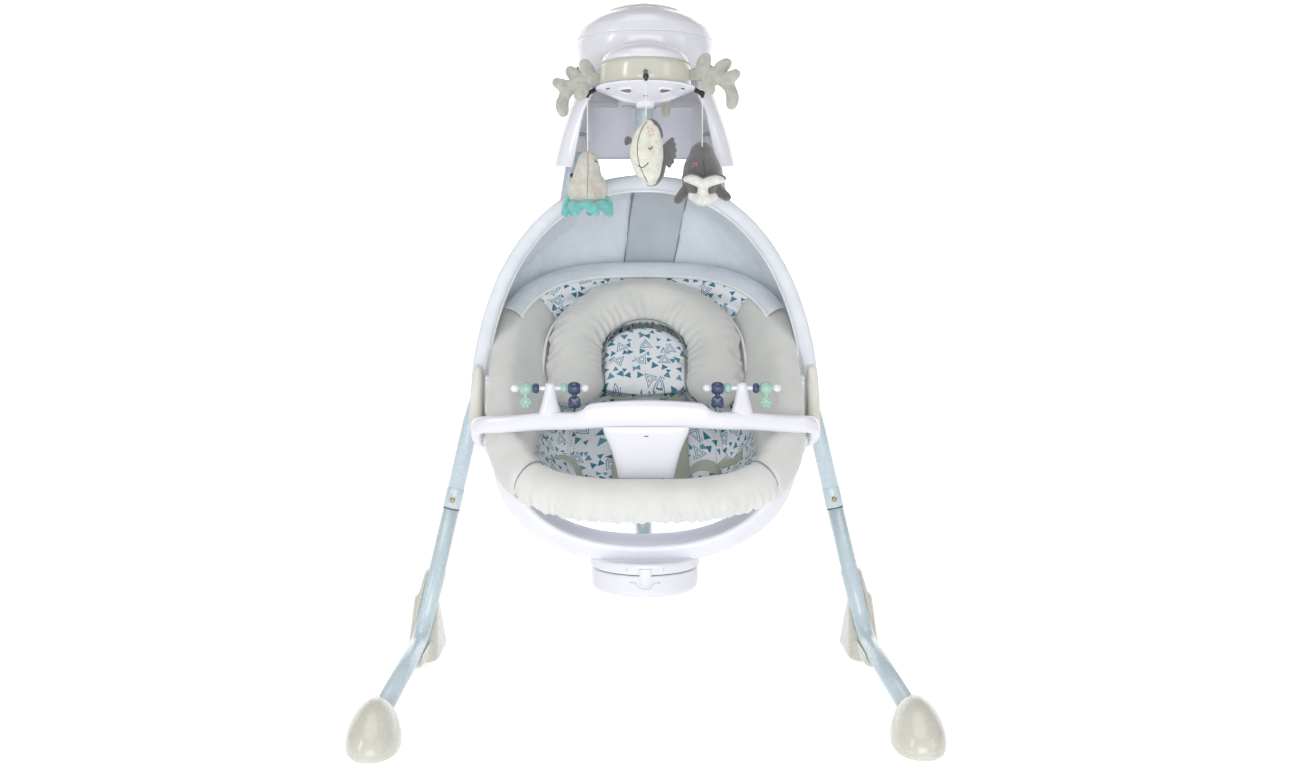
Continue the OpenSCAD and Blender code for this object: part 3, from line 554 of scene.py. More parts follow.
def triangle_print(name, ground, dark, pale):
    """White cloth printed with small solid triangles and, between them, larger ones drawn in double lines."""
    mat, tree, surface, coords = start(name)
    at = node(tree, "ShaderNodeVectorMath", {"operation": "SCALE"}, _0=coords.outputs["UV"],
              Scale=1000.0).outputs[0]
    reach, pick = triangle_reach(tree, at, SMALL_CELL, 0.75)
    size = ramp(tree, pick.outputs[1], 0, 1, 2.3, 3.7)
    solid = ramp(tree, math_node(tree, "SUBTRACT", size, reach), -0.15, 0.15)
    big_reach, _ = triangle_reach(tree, at, LARGE_CELL, 0.7)
    clear = ramp(tree, math_node(tree, "SUBTRACT", big_reach, CLEAR_REACH), -0.2, 0.2)
    from_outer = math_node(tree, "ABSOLUTE", math_node(tree, "SUBTRACT", big_reach, OUTER_LINE))
    from_inner = math_node(tree, "ABSOLUTE", math_node(tree, "SUBTRACT", big_reach, INNER_LINE))
    lines = math_node(tree, "MAXIMUM", ramp(tree, from_outer, 0.45, 0.7, 1.0, 0.0),
                      ramp(tree, from_inner, 0.4, 0.6, 1.0, 0.0))
    mask = math_node(tree, "MAXIMUM", math_node(tree, "MULTIPLY", solid, clear), lines)
    ink = mixed(tree, ramp(tree, pick.outputs[2], 0.2, 1.0), dark, pale)
    color = mixed(tree, mask, ground, ink)
    cloth_surface(tree, surface, coords.outputs["Object"], color, thread_mm=0.8, crumple=0.2, fuzz=0.2)
    return mat


WHITE = srgb(226, 226, 234)
MAT = {
    "tube": paint("tube_paint", srgb(196, 211, 219)),
    "white": plastic("white_plastic", WHITE),
    "foot": plastic("foot_plastic", srgb(206, 205, 194), rough=0.26),
    "hub": plastic("hub_plastic", srgb(202, 201, 190), rough=0.18),
    "panel": plastic("panel_plastic", srgb(205, 204, 197), rough=0.3),
    "button": plastic("button_plastic", srgb(236, 235, 238), rough=0.25),
    # Dark plastic; the same finish is also painted shade in the swivel gap, the leg seams, the head's slits
    # and the bowl's slots
    "dark": plastic("dark_plastic", srgb(58, 58, 62), rough=0.4, coat=0.1),
    "black": plastic("black_plastic", srgb(26, 26, 28), rough=0.32, coat=0.15),
    # Darker inner plastic; it is also painted shade in the head's seam groove and the collar's slot
    "inner": plastic("inner_plastic", srgb(214, 213, 217), rough=0.45, coat=0.05),
    "mint": plastic("mint_plastic", srgb(156, 192, 178), rough=0.28),
    "navy": plastic("navy_plastic", srgb(52, 68, 104), rough=0.28),
    "sage_plastic": plastic("sage_plastic", srgb(182, 190, 172), rough=0.4, coat=0.1),
    "lens": plastic("lens_plastic", srgb(120, 118, 108), rough=0.1, coat=0.8),
    "steel": metal("bright_steel", srgb(190, 191, 194)),
    "plate": paint("bracket_paint", srgb(214, 214, 218)),
    "brass": metal("brass_rivet", srgb(190, 165, 120), 0.35, (400, 400, 400)),
    "copper": metal("copper_wire", srgb(184, 115, 80), 0.35, (40, 40, 2200)),
    "grey": cloth("grey_fabric", srgb(216, 217, 214), thread_mm=0.8, crumple=0.22, fuzz=0.3),
    "canopy_out": cloth("canopy_fabric", srgb(228, 233, 240), thread_mm=0.7, crumple=0.15, fuzz=0.15),
    "canopy_in": cloth("canopy_lining", srgb(222, 229, 236), thread_mm=0.7, crumple=0.75, fuzz=0.15),
    "canopy_mid": cloth("canopy_panel", srgb(192, 199, 205), thread_mm=0.9, crumple=0.4, fuzz=0.2),
    "binding": cloth("white_binding", srgb(238, 240, 243), thread_mm=0.8, crumple=0.1),
    "cream": cloth("cream_fabric", srgb(226, 226, 216), thread_mm=0.8, crumple=0.25),
    "print": triangle_print("print_fabric", srgb(240, 243, 248), srgb(62, 130, 154), srgb(104, 164, 182)),
    "webbing": webbing("sage_webbing", srgb(184, 193, 174)),
    "leaf": plush("leaf_plush", srgb(184, 186, 175), 1.4),
    "jelly": plush("jellyfish_plush", srgb(206, 203, 193), 1.2),
    "frill": plush("frill_plush", srgb(110, 194, 190), 1.2),
    "fish": plush("fish_plush", srgb(226, 226, 212), 1.2),
    "charcoal": plush("whale_plush", srgb(98, 98, 99), 1.2),
    "belly": plush("belly_plush", srgb(233, 232, 228), 1.2),
    "pink": cloth("pink_thread", srgb(240, 140, 158), thread_mm=0.4),
    "seam": cloth("seam_thread", srgb(138, 144, 150), thread_mm=0.4),
    "thread": cloth("dark_thread", srgb(70, 70, 72), thread_mm=0.4),
    "string": cloth("white_cord", srgb(238, 238, 236), thread_mm=0.5),
}


def cad_material(node_name, material):
    """Puts a finish on a CAD node that stays in view."""
    o = frame["nodes"][node_name]
    o.data.materials.clear()
    o.data.materials.append(material)
    o.data.polygons.foreach_set("use_smooth", [False] * len(o.data.polygons))


# ---- Camera, light and floor ----

cam_data = bpy.data.cameras.new("camera")
camera = bpy.data.objects.new("camera", cam_data)
bpy.context.scene.collection.objects.link(camera)
bpy.context.scene.camera = camera
camera.location = (-0.0215, -2.471, 0.776)
camera.rotation_euler = (math.radians(90 - 6.7), 0, math.radians(-0.69))
cam_data.lens = 44.38
cam_data.sensor_width = 36
cam_data.clip_end = 100


def area_light(name, at, look, size, power):
    data = bpy.data.lights.new(name, "AREA")
    data.shape = "RECTANGLE"
    data.size, data.size_y = size
    data.energy = power
    light = bpy.data.objects.new(name, data)
    bpy.context.scene.collection.objects.link(light)
    light.location = at
    light.rotation_euler = (Vector(look) - Vector(at)).to_track_quat("-Z", "Y").to_euler()
    return light


area_light("left", (-2.3, -1.9, 1.7), (0, 0, 0.6), (0.4, 1.7), 16)
area_light("right", (2.6, -1.9, 1.5), (0, 0, 0.6), (0.9, 1.6), 7)
area_light("front", (0.1, -3.6, 0.75), (0, 0, 0.6), (2.6, 1.6), 52)
sun_data = bpy.data.lights.new("overhead", "SUN")
sun_data.energy = 0.8
sun_data.angle = math.radians(42)
sun = bpy.data.objects.new("overhead", sun_data)
bpy.context.scene.collection.objects.link(sun)
sun.rotation_euler = (math.radians(6), math.radians(-3), 0)

world = bpy.data.worlds.new("studio")
bpy.context.scene.world = world
world.use_nodes = True
world.node_tree.nodes["Background"].inputs[0].default_value = (1.0, 1.0, 1.0, 1)
world.node_tree.nodes["Background"].inputs[1].default_value = 0.30
bpy.context.scene.view_settings.view_transform = "Standard"

floor_mat, floor_tree, floor_surface, floor_coords = start("pale_floor")
floor_tree.links.new(
    mixed(floor_tree, noise(floor_tree, floor_coords.outputs["Object"], 1.5, 2),
          (0.80, 0.80, 0.805, 1), (0.82, 0.82, 0.82, 1)), floor_surface.inputs["Base Color"])
floor_surface.inputs["Emission Color"].default_value = (1, 1, 1, 1)
floor_surface.inputs["Emission Strength"].default_value = 0.5
floor_surface.inputs["Roughness"].default_value = 0.75
floor_surface.inputs["Specular IOR Level"].default_value = 0.1
floor = build("floor", [(-9000, -5000, 0), (9000, -5000, 0), (9000, 12000, 0), (-9000, 12000, 0)],
              [(0, 1, 2, 3)], None, floor_mat, smooth=False)

# Bright studio wall far behind
wall_mat, wall_tree, wall_surface, wall_coords = start("bright_wall")
wall_tint = noise(wall_tree, wall_coords.outputs["Object"], 0.5, 2)
wall_tree.links.new(mixed(wall_tree, wall_tint, (1, 1, 1, 1), (0.99, 0.99, 1, 1)),
                    wall_surface.inputs["Emission Color"])
wall_surface.inputs["Emission Strength"].default_value = 1.15
wall = build("wall", [(-16000, 11900, -200), (16000, 11900, -200), (16000, 11900, 9000),
                      (-16000, 11900, 9000)],
             [(0, 1, 2, 3)], None, wall_mat, smooth=False)


# ---- Strings of the mobile ----

def peg_tip(azimuth):
    a = math.radians(azimuth)
    return lean(arr((PEG_REACH * math.cos(a), HUB_Y + PEG_REACH * math.sin(a), PEG_Z)))


STRING_D = 1.6
toy_top = {}
for toy, (azimuth, length) in STRINGS.items():
    top = peg_tip(azimuth) - (0, 0, 4.3)
    toy_top[toy] = top - (0, 0, length)
    data = bpy.data.curves.new(toy + "_string", "CURVE")
    data.dimensions = "3D"
    data.bevel_depth = STRING_D / 2 * MM
    data.bevel_resolution = 3
    spline = data.splines.new("POLY")
    spline.points.add(12)
    for k, point in enumerate(spline.points):
        point.co = (*((top - (0, 0, length * k / 12)) * MM), 1)
    string = bpy.data.objects.new(toy + "_string", data)
    bpy.context.scene.collection.objects.link(string)
    data.materials.append(MAT["string"])
    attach(string, "mobile")
    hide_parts("mobile_strings")


# ---- Legs and feet ----

def mirrored(points, side):
    p = arr(points)
    return p * (side, 1, 1)


upper_path = rounded_path(UPPER_LEG, [250, 250], 26)
lower_path = rounded_path(LOWER_LEG, [62], 30)
SIDES = (("left", -1), ("right", 1))

FOOT_RINGS = [(0, 30, 51, -262), (3, 36, 58, -260), (14, 38.5, 60, -260), (32, 36, 55, -256),
              (50, 28, 42, -248), (62, 18, 28, -242), (69, 7, 12, -238)]


def softened(name, source, material, body, voxel=2.5, rounds=8):
    """A moulded-looking copy of a CAD node: remeshed, with its corners eased."""
    cad = frame["nodes"][source]
    mesh = cad.data.copy()
    mesh.transform(cad.matrix_world)
    mesh.materials.clear()
    obj = bpy.data.objects.new(name, mesh)
    bpy.context.scene.collection.objects.link(obj)
    mod(obj, "REMESH", mode="VOXEL", voxel_size=voxel * MM)
    mod(obj, "SMOOTH", factor=0.5, iterations=rounds)
    apply_all(obj)
    obj.data.materials.append(material)
    obj.data.polygons.foreach_set("use_smooth", [True] * len(obj.data.polygons))
    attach(obj, body)
    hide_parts(source)
    return obj


for word, side in SIDES:
    leg = tube(f"leg_upper_{word}", mirrored(upper_path, side), TUBE_R, "root", MAT["tube"], "tube_paint",
               40, ref=(1, 0, 0))
    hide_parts(f"upper_leg_{word}")
    base = tube(f"leg_lower_{word}", mirrored(lower_path, side), TUBE_R, "root", MAT["tube"], "tube_paint",
                40, ref=(1, 0, 0))
    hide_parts(f"lower_leg_{word}")
    along = unit(upper_path[1] - upper_path[0])
    seam = arr(LEG_SEAM)
    # Painted shade: a thin dark ring at the joint of the upper and lower tubes stands for the seam's shade
    # line
    ring_path = arr([seam - along * 1.2, seam - along * 0.6, seam + along * 0.6, seam + along * 1.2])
    tube(f"leg_seam_shade_{word}", mirrored(ring_path, side), [13.8, 14.25, 14.25, 13.8], "root",
         MAT["dark"], "dark_plastic", 40, ref=(1, 0, 0))
    collar_path = arr([seam + along * d for d in (1.6, 3, 34, 37)])
    collar = tube(f"leg_collar_{word}", mirrored(collar_path, side), [14.0, 14.7, 14.7, 13.9], "root",
                  MAT["tube"], "tube_paint", 40, ref=(1, 0, 0))
    rivet = turned(f"rivet_{word}", [(0.1, 3.4), (2.2, 3.1), (3.6, 2.2), (4.3, 0.6), (4.3, -2)],
                   (side * 325, 216.6, 272), "root", MAT["brass"], "brass_rivet", 32, axis=(0, -1, 0))
    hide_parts("leg_rivets")
    button = turned(f"spring_button_{word}", [(0.1, 0), (2, 0.2), (3.2, 1.2), (3.5, 3), (3.5, 13)],
                    (side * 115.8, 135, 818), f"leg_button_{word[0]}", MAT["dark"], "dark_plastic", 28,
                    axis=(0, 1, 0))
    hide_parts(f"leg_button_{word}")

    rows = catmull(FOOT_RINGS, 7)
    angles = np.linspace(0, 360, 72, endpoint=False)
    rings = []
    for z, a, b, cy in rows:
        cut = 0.9 if 9.2 < z < 11.6 else 0
        p = super_point(max(a - cut, 0.5), max(b - cut, 0.5), 2.2, angles)
        rings.append(np.stack([p[:, 0] + 388, p[:, 1] + cy, np.full(72, z)], axis=-1))
    foot = loft(f"foot_front_{word}", mirrored(rings, side), "root", MAT["foot"], "foot_plastic")
    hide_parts(f"front_foot_{word}")
    softened(f"foot_heel_{word}", f"heel_foot_{word}", MAT["foot"], "root", 2.2, 34)


# ---- Head ----

HEAD_RINGS = [
    (822, 139, 116, 69, 6, -0.78), (828, 140, 117, 69, 6, -0.78), (880, 128, 112, 72, 6, 0),
    (930, 113, 103, 64, 4.5, 0.45), (962, 103, 97, 52, 3.4, 0.8), (974, 101, 97, 52, 3, 0.94),
    (980, 101, 104, 38, 2.6, 1), (992, 102, 106, 25, 2.4, 1), (1008, 105, 108, 20, 2.3, 1),
    (1020, 106, 109, 18, 2.2, 1), (1027, 105, 108, 18, 2.2, 1),
]
CAP_RINGS = [(1027.4, 104.4, 107.4, 18), (1029.5, 105.4, 108.4, 18), (1036, 104, 107, 18),
             (1041, 101.8, 105, 17.6), (1046, 98.6, 101.6, 17), (1057, 84, 88, 14), (1067, 65, 68, 11),
             (1070, 58, 61, 10)]
SKIRT_CUT_TOP = 966
SKIRT_CUT_Z, SKIRT_CUT_X = [800, 915, 940, 966, 1030], [114, 92, 80, 80, 72]
HEAD_BACK_COLS, HEAD_FRONT_COLS = 110, 34


def head_ring(z, a, b, cy, power, share, cut_x):
    """Columns run from the front cut's right edge round the back to its left edge, then over the front."""
    edge = math.degrees(math.acos(min(0.98, (cut_x / a)) ** (power / 2)))
    back = np.linspace(-edge, 180 + edge, HEAD_BACK_COLS)
    front = np.linspace(180 + edge, 360 - edge, HEAD_FRONT_COLS + 2)[1:-1]
    p = super_point(a, b, power, np.concatenate([back, front]))
    return lean(np.stack([p[:, 0], p[:, 1] + cy, np.full(len(p), z)], axis=-1), share)


def cut_half_width(z):
    return np.interp(z, SKIRT_CUT_Z, SKIRT_CUT_X)


rows = catmull(HEAD_RINGS, 9)
low = [row for row in rows if row[0] < SKIRT_CUT_TOP - 3]
high = [row for row in rows if row[0] > SKIRT_CUT_TOP + 2]
at_cut = arr([np.interp(SKIRT_CUT_TOP, rows[:, 0], rows[:, k]) for k in range(6)])
rows = low + [at_cut] + high
grid = arr([head_ring(*row, cut_half_width(row[0])) for row in rows])
cols = grid.shape[1]
faces = []
for f in grid_faces(len(rows), cols, True):
    i, j = divmod(f[0], cols)
    open_front = i < len(low) and j >= HEAD_BACK_COLS - 1
    if not open_front:
        faces.append(f)
body_shell = build("head_body", grid.reshape(-1, 3), faces, None, MAT["white"], "white_plastic")
mod(body_shell, "SOLIDIFY", thickness=3.5 * MM, offset=-1.0)
mod(body_shell, "BEVEL", width=1.1 * MM, segments=3, limit_method="ANGLE", angle_limit=math.radians(50))
apply_all(body_shell)
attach(body_shell, "root")
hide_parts("head_lower_shell")

rows = catmull(CAP_RINGS, 7)
ring_angles = np.linspace(0, 360, 120, endpoint=False)


def level_ring(z, a, b, cy, power=2.2, share=1.0):
    p = super_point(a, b, power, ring_angles)
    return lean(np.stack([p[:, 0], p[:, 1] + cy, np.full(len(p), z)], axis=-1), share)


cap = loft("head_cap", [level_ring(*row) for row in rows], "root", MAT["white"], "white_plastic")
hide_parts("head_upper_shell")
# Painted shade: the seam groove between the two shells is lined with the darker inner plastic
loft("head_seam", [level_ring(z, 104 - d, 107 - d, 18) for z, d in
                   ((1025.5, 2), (1026, 0.2), (1028.4, 0.2), (1029, 2))],
     "root", MAT["inner"], "white_plastic")

PANEL_RINGS = [(1069.6, 58.6, 61.6, 10), (1071.2, 58.4, 61.4, 10), (1073.5, 55, 57.6, 10),
               (1076.5, 49, 51, 10), (1079.6, 38.5, 39.5, 10), (1081.6, 23, 23.5, 10), (1082, 6, 6, 10)]
panel = loft("head_panel", [level_ring(*row) for row in catmull(PANEL_RINGS, 5)], "root", MAT["panel"],
             "panel_plastic")
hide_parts("control_panel")
BUTTONS = [(-38, 0, 1080), (-21, -22, 1081), (0, -29, 1082), (21, -22, 1081), (38, 0, 1080)]
for i, (x, y, top_z) in enumerate(BUTTONS, 1):
    wide = 8.4 if i == 3 else 7.2
    dome = [(wide * r, h) for r, h in ((0.02, 2.2), (0.4, 2.0), (0.75, 1.3), (0.95, 0.2), (1.0, -1.2),
                                       (1.0, -4))]
    cap_button = turned(f"button_cap_{i}", dome, (0, 0, 0), None, MAT["button"], "button_plastic", 40)
    points = mesh_points(cap_button) * (1, 0.82, 1) + (x, y + 10, top_z - 1.4)
    set_points(cap_button, lean(points))
    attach(cap_button, f"button_{i}")
    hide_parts(f"panel_button_{i}")

# Round cap over the motor, with a moulded parting line
DOME_R, DOME_H = 63, 27
dome_profile = []
for a in np.linspace(0, 90, 34):
    t = math.radians(a)
    dip = 0.5 if 47 < a < 51 else 0
    dome_profile.append(((DOME_R - dip) * math.cos(t), (DOME_H - dip) * math.sin(t)))
turned("motor_dome", [(DOME_R, -2)] + dome_profile, (0, HUB_Y, 975), "root", MAT["white"], "white_plastic",
       96, leaned=True)

# Narrow vents on both cheeks of the head, drawn as dark rods half sunk in the shell: painted shade for the
# inside of the vents
for i, (x, y, z, run) in enumerate([(-101.5, -18, 978, (4, 0, -9)), (-106.5, -6, 962, (2, 0, -8)),
                                    (101.5, -18, 980, (-3, 0, -8)), (106.5, -6, 964, (-2, 0, -7))]):
    rod(f"head_vent_shade_{i + 1}", (x, y, z), arr((x, y, z)) + run, 1.3, "root", MAT["dark"], "dark_plastic", 12)

for name in ("head_chassis", "arm_hub"):
    cad_material(name, MAT["inner"])
cad_material("drive_coil", MAT["copper"])
cad_material("drive_magnet", MAT["dark"])
for name in ("mobile_motor", "axle_bearings", "swing_axle", "seat_rim"):
    cad_material(name, MAT["steel"])


# ---- Mobile's hub, bowl and pegs ----

hub_profile = [(58, 938.4), (64.4, 939), (65.5, 940), (65.9, 948), (66.1, 955), (65.9, 964), (65.3, 969.5),
               (64.2, 971), (40, 971)]
hub = turned("mobile_drum", hub_profile, (0, HUB_Y, 0), "mobile", MAT["hub"], "hub_plastic", 128, leaned=True)
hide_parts("mobile_hub")
turned("drum_rim_line", [(60, 970.6), (65.1, 970.7), (65.6, 971.4), (65.2, 972.1), (60, 972.2)],
       (0, HUB_Y, 0), "mobile", MAT["sage_plastic"], "hub_plastic", 128, leaned=True)

bowl_profile = [(0.1, 911), (11, 911), (13, 912), (13.6, 917), (16, 918.6), (30, 920.4), (42, 924.4),
                (52, 928.8), (62, 933.2), (69, 936), (71.6, 937.2), (72, 938.2), (71.4, 939), (66, 938.9),
                (58, 938), (40, 931), (0.1, 923)]
bowl = turned("mobile_dish", bowl_profile, (0, HUB_Y, 0), "mobile", MAT["white"], "white_plastic", 128,
              leaned=True)
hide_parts("mobile_bowl")


def on_bowl(azimuth, radius, lift=0.0):
    """Point of the bowl's underside at an azimuth and radius from its axis."""
    z = np.interp(radius, [16, 30, 42, 52, 62, 72], [918.6, 920.4, 924.4, 928.8, 933.2, 938.2])
    a = math.radians(azimuth)
    return arr((radius * math.cos(a), HUB_Y + radius * math.sin(a), z - lift))


def window_ring(azimuth, radius, w, h, lift, grow):
    """D-shaped outline on the bowl's underside, flat side up the slope."""
    pts = []
    for a in np.linspace(0, 2 * math.pi, 40, endpoint=False):
        u, v = math.cos(a) * (w + grow), math.sin(a) * (h + grow)
        v = min(v, (h + grow) * 0.55)
        pts.append(on_bowl(azimuth + math.degrees(u / radius), radius + v, lift))
    return lean(arr(pts))


for i, azimuth in enumerate((-122, -58)):
    rim = [window_ring(azimuth, 53, 8.6, 7, lift, grow) for lift, grow in
           ((-1, 2.4), (1.2, 2.2), (2.2, 1.4), (2.2, 0.4), (1.0, 0), (-1, 0))]
    loft(f"window_rim_{i + 1}", rim, "mobile", MAT["white"], "white_plastic", caps=False)
    glass = [window_ring(azimuth, 53, 8.6, 7, lift, grow)
             for lift, grow in ((0.5, 0.1), (1.0, -1.5), (1.5, -4), (1.7, -6.3))]
    loft(f"window_lens_{i + 1}", glass, "mobile", MAT["lens"], "inner_plastic")
# Painted shade: dark rods on the bowl's underside stand for the inside of its slots
for i, azimuth in enumerate((-150, -90, -30)):
    a = lean(on_bowl(azimuth - 4, 36 if i == 1 else 62, 0.2))
    b = lean(on_bowl(azimuth + 4, 36 if i == 1 else 62, 0.2))
    rod(f"bowl_slot_shade_{i + 1}", a, b, 1.1, "mobile", MAT["dark"], "dark_plastic", 12)

for i, azimuth in enumerate((-90, 30, 150)):
    a = math.radians(azimuth)
    root = lean(arr((63 * math.cos(a), HUB_Y + 63 * math.sin(a), 951.5)))
    tip = peg_tip(azimuth)
    run = unit(tip - root)
    path = arr([root, root + run * 4, tip - run * 5, tip - run * 2.5, tip, tip + run * 2.6, tip + run * 3.6])
    peg = tube(f"hanger_{i + 1}", path, [4.2, 3.3, 3.3, 4.1, 4.3, 3.4, 1.2], "mobile", MAT["black"],
               "black_plastic", 28)
    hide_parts("mobile_pegs")
    turned(f"hanger_eye_{i + 1}", [(1.2, 1.2), (2.4, 1.2), (2.8, 0), (2.4, -3.6), (1.2, -4.2)],
                 tip - (0, 0, 2.2), "mobile", MAT["black"], "black_plastic", 20)


# ---- Swing arm and swivel ----

arm_path = rounded_path(ARM, [120, 220, 300, 100], 30)
arm = tube("arm_pipe", arm_path, TUBE_R, "swing_arm", MAT["tube"], "tube_paint", 40, ref=(1, 0, 0))
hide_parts("arm_tube")

cup_profile = [(0.1, 183), (70, 183), (74, 181.4), (78, 182.4), (81, 185), (82.6, 189), (83, 195), (83, 213),
               (82.4, 216), (80, 217), (0.1, 217)]
cup = turned("swivel_base", cup_profile, (0, SWIVEL_Y, 0), "swing_arm", MAT["white"], "white_plastic", 128)
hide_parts("swivel_cup")
collar_profile = [(0.1, 217.4), (82.4, 217.4), (84.4, 218), (85, 219.6), (85, 231), (84.4, 233.6), (82, 235),
                  (0.1, 235)]
collar = turned("hoop_collar", collar_profile, (0, SWIVEL_Y, 0), "seat", MAT["white"], "white_plastic", 128)
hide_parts("swivel_collar")
# Painted shade: a dark ring fills the thin gap between the swivel base and the collar
turned("swivel_gap", [(60, 216.6), (83.2, 216.7), (83.4, 217.2), (83.2, 217.7), (60, 217.8)],
       (0, SWIVEL_Y, 0), "swing_arm", MAT["dark"], "white_plastic", 96)


def on_cup(x, z, lift=0.0, r=83):
    return arr((x, SWIVEL_Y - math.sqrt(max(r * r - x * x, 1)) - lift, z))


def patch(name, outline, body, material, slot, r, thick=1.2, base=-1.0):
    """A raised patch that follows the cup's wall; outline is a convex list of (x, z)."""
    outer = arr([on_cup(x, z, thick, r) for x, z in outline])
    inner = arr([on_cup(x, z, base, r) for x, z in outline])
    mid = outer.mean(0)
    eased = outer + (mid - outer) * 0.06 + (0, -0.5, 0)
    return loft(name, [inner, outer, eased], body, material, slot)


def strip_outline(points, half):
    """Outline of a strip of a given half width along a bent line of (x, z) points."""
    p = arr(points)
    t = np.gradient(p, axis=0)
    n = np.stack([-t[:, 1], t[:, 0]], axis=-1) / np.linalg.norm(t, axis=1)[:, None] * half
    return p + n, p - n


def strip(name, points, half, body, material, slot, r, thick=1.0):
    top, bottom = strip_outline(points, half)
    front = [arr([on_cup(x, z, thick, r) for x, z in line]) for line in (top, bottom)]
    back = [arr([on_cup(x, z, -1.5, r) for x, z in line]) for line in (top, bottom)]
    rings = np.stack([back[0], front[0], front[1], back[1]], axis=1)
    return loft(name, rings, body, material, slot)


strip("cup_chevron", [(-23, 205), (-16, 205), (-13, 203), (-11, 199), (-8, 196), (0, 195), (8, 196),
                      (11, 199), (13, 203), (16, 205), (23, 205)],
      1.3, "swing_arm", MAT["white"], "white_plastic", 83, 1.4)
# Painted shade: the collar's slot is a flat patch of the darker inner plastic
patch("collar_slot", [(-28, 222.4), (28, 222.4), (28.6, 225), (28, 228), (-28, 228), (-28.6, 225)], "seat",
      MAT["inner"], "white_plastic", 85, 0.25, -1)
patch("click_tongue", [(-10, 227.2), (10, 227.2), (9, 214), (7, 204), (3, 201.5), (-3, 201.5), (-7, 204),
                       (-9, 214)],
      "seat", MAT["white"], "white_plastic", 85, 1.6, -0.2)

HOOP_W, HOOP_DROP, HOOP_POWER, HOOP_TOP = 233, 178, 2.3, 405
HOOP_SECTION = [(0.0, -36), (0.0, 36), (0.6, 41), (2.6, 45), (6.5, 47), (22, 47), (25.8, 46.2), (27.6, 45),
                (28, 43.8), (27.2, 43), (25, 42.8), (9, 42.6), (6, 41), (5, 37), (5, -37), (6, -41),
                (9, -42.6), (25, -42.8), (27.2, -43), (28, -43.8), (27.6, -45), (25.8, -46.2), (22, -47),
                (6.5, -47), (2.6, -45), (0.6, -41)]
hoop_rings = []
for a in np.linspace(180, 360, 150):
    ring = []
    for inset, y in HOOP_SECTION:
        x, z = super_point(HOOP_W - inset, HOOP_DROP - inset, HOOP_POWER, a)
        ring.append((x, SWIVEL_Y + y, HOOP_TOP + z))
    hoop_rings.append(ring)
hoop = loft("base_hoop", hoop_rings, "seat", MAT["white"], "white_plastic")
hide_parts("seat_hoop")
for word, side in SIDES:
    cad_material(f"side_bracket_{word}", MAT["plate"])
    mod(frame["nodes"][f"side_bracket_{word}"], "BEVEL", width=1.2 * MM, segments=3, limit_method="ANGLE",
        angle_limit=math.radians(40))


# ---- Tray and toys on it ----

# Stations of the bar: X, centre Y, centre Z, half height, half thickness
TRAY = [(247.4, -112, 426, 5, 5), (247.3, -116, 427, 9, 6.2), (247, -134, 433, 10.5, 6.2),
        (247, -152, 441, 11.5, 6.2), (243.5, -176, 452, 12, 7), (231, -195, 459, 12.4, 8),
        (205, -206, 461, 12.5, 9), (150, -221, 467, 12.6, 9), (112, -229, 468.5, 12.4, 9),
        (99, -231, 469.5, 12.4, 9), (88, -233, 472.2, 14.6, 9), (78, -234.5, 476.4, 17.6, 9),
        (40, -237, 479.2, 18.7, 9), (0, -238, 480.4, 19.1, 9)]
TOY_BAR_HALF = 50
tray_half = catmull(TRAY, 6)
tray_rows = np.concatenate([tray_half * (-1, 1, 1, 1, 1), tray_half[::-1][1:]])
section_angles = np.linspace(0, 360, 44, endpoint=False)
tray_path = tray_rows[:, :3]
_, tray_side, _ = ref_frames(tray_path, (0, 0, 1))
rings = []
for (x, y, z, half, thick), side_vector in zip(tray_rows, tray_side):
    p = super_point(thick, half, 3.4, section_angles)
    bow = 1.4 * (1 - (p[:, 1] / half) ** 2)
    flat = unit(side_vector * (1, 1, 0))
    offset = p[:, 0] + np.sign(p[:, 0]) * bow
    rings.append(arr((x, y, z)) + offset[:, None] * flat + p[:, 1:2] * arr((0, 0, 1)))
tray = loft("play_bar", rings, "tray", MAT["white"], "white_plastic")
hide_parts("tray_bar")
for word, side in SIDES:
    turned(f"bar_pivot_{word}", [(0.1, 9.4), (9, 9.2), (11.4, 8), (12, 6), (12, 0), (4, 0), (4, -13)],
           (side * 240.2, -120, 428), "tray", MAT["white"], "white_plastic", 40, axis=(side, 0, 0))
    base = turned(f"toy_post_{word}", [(17, -42), (16.6, -36), (14.2, -29), (11.2, -19), (8.8, -8), (7.4, 0),
                                       (7.2, 4), (6.4, 6.4), (4, 7.8), (0.1, 8.2)],
                  (side * TOY_POST_X, TOY_AXLE_Y, TOY_AXLE_Z), None, MAT["white"], "white_plastic", 48)
    points = mesh_points(base)
    down = np.clip((TOY_AXLE_Z - points[:, 2]) / 42, 0, 1)
    points[:, 1] = TOY_AXLE_Y + (points[:, 1] - TOY_AXLE_Y) * (1 - 0.42 * down) - 8 * down
    set_points(base, points)
    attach(base, "tray")
    rod(f"toy_bar_{word}", (side * TOY_POST_X - TOY_BAR_HALF, TOY_AXLE_Y, TOY_AXLE_Z),
        (side * TOY_POST_X + TOY_BAR_HALF, TOY_AXLE_Y, TOY_AXLE_Z), 3.0, "tray", MAT["white"],
        "axle_plastic", 24)
    for end in (-1, 1):
        ball = turned(f"toy_bar_end_{word}_{'inner' if end * side < 0 else 'outer'}",
                      [(0.1, 5.8), (2.8, 5.3), (4.8, 3.6), (5.6, 1), (5.4, -2.4), (4.4, -4.4), (3, -5.4)],
                      (side * TOY_POST_X + end * TOY_BAR_HALF, TOY_AXLE_Y, TOY_AXLE_Z), "tray",
                      MAT["white"], "axle_plastic",
                      32, axis=(end, 0, 0))
        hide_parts("toy_axles")

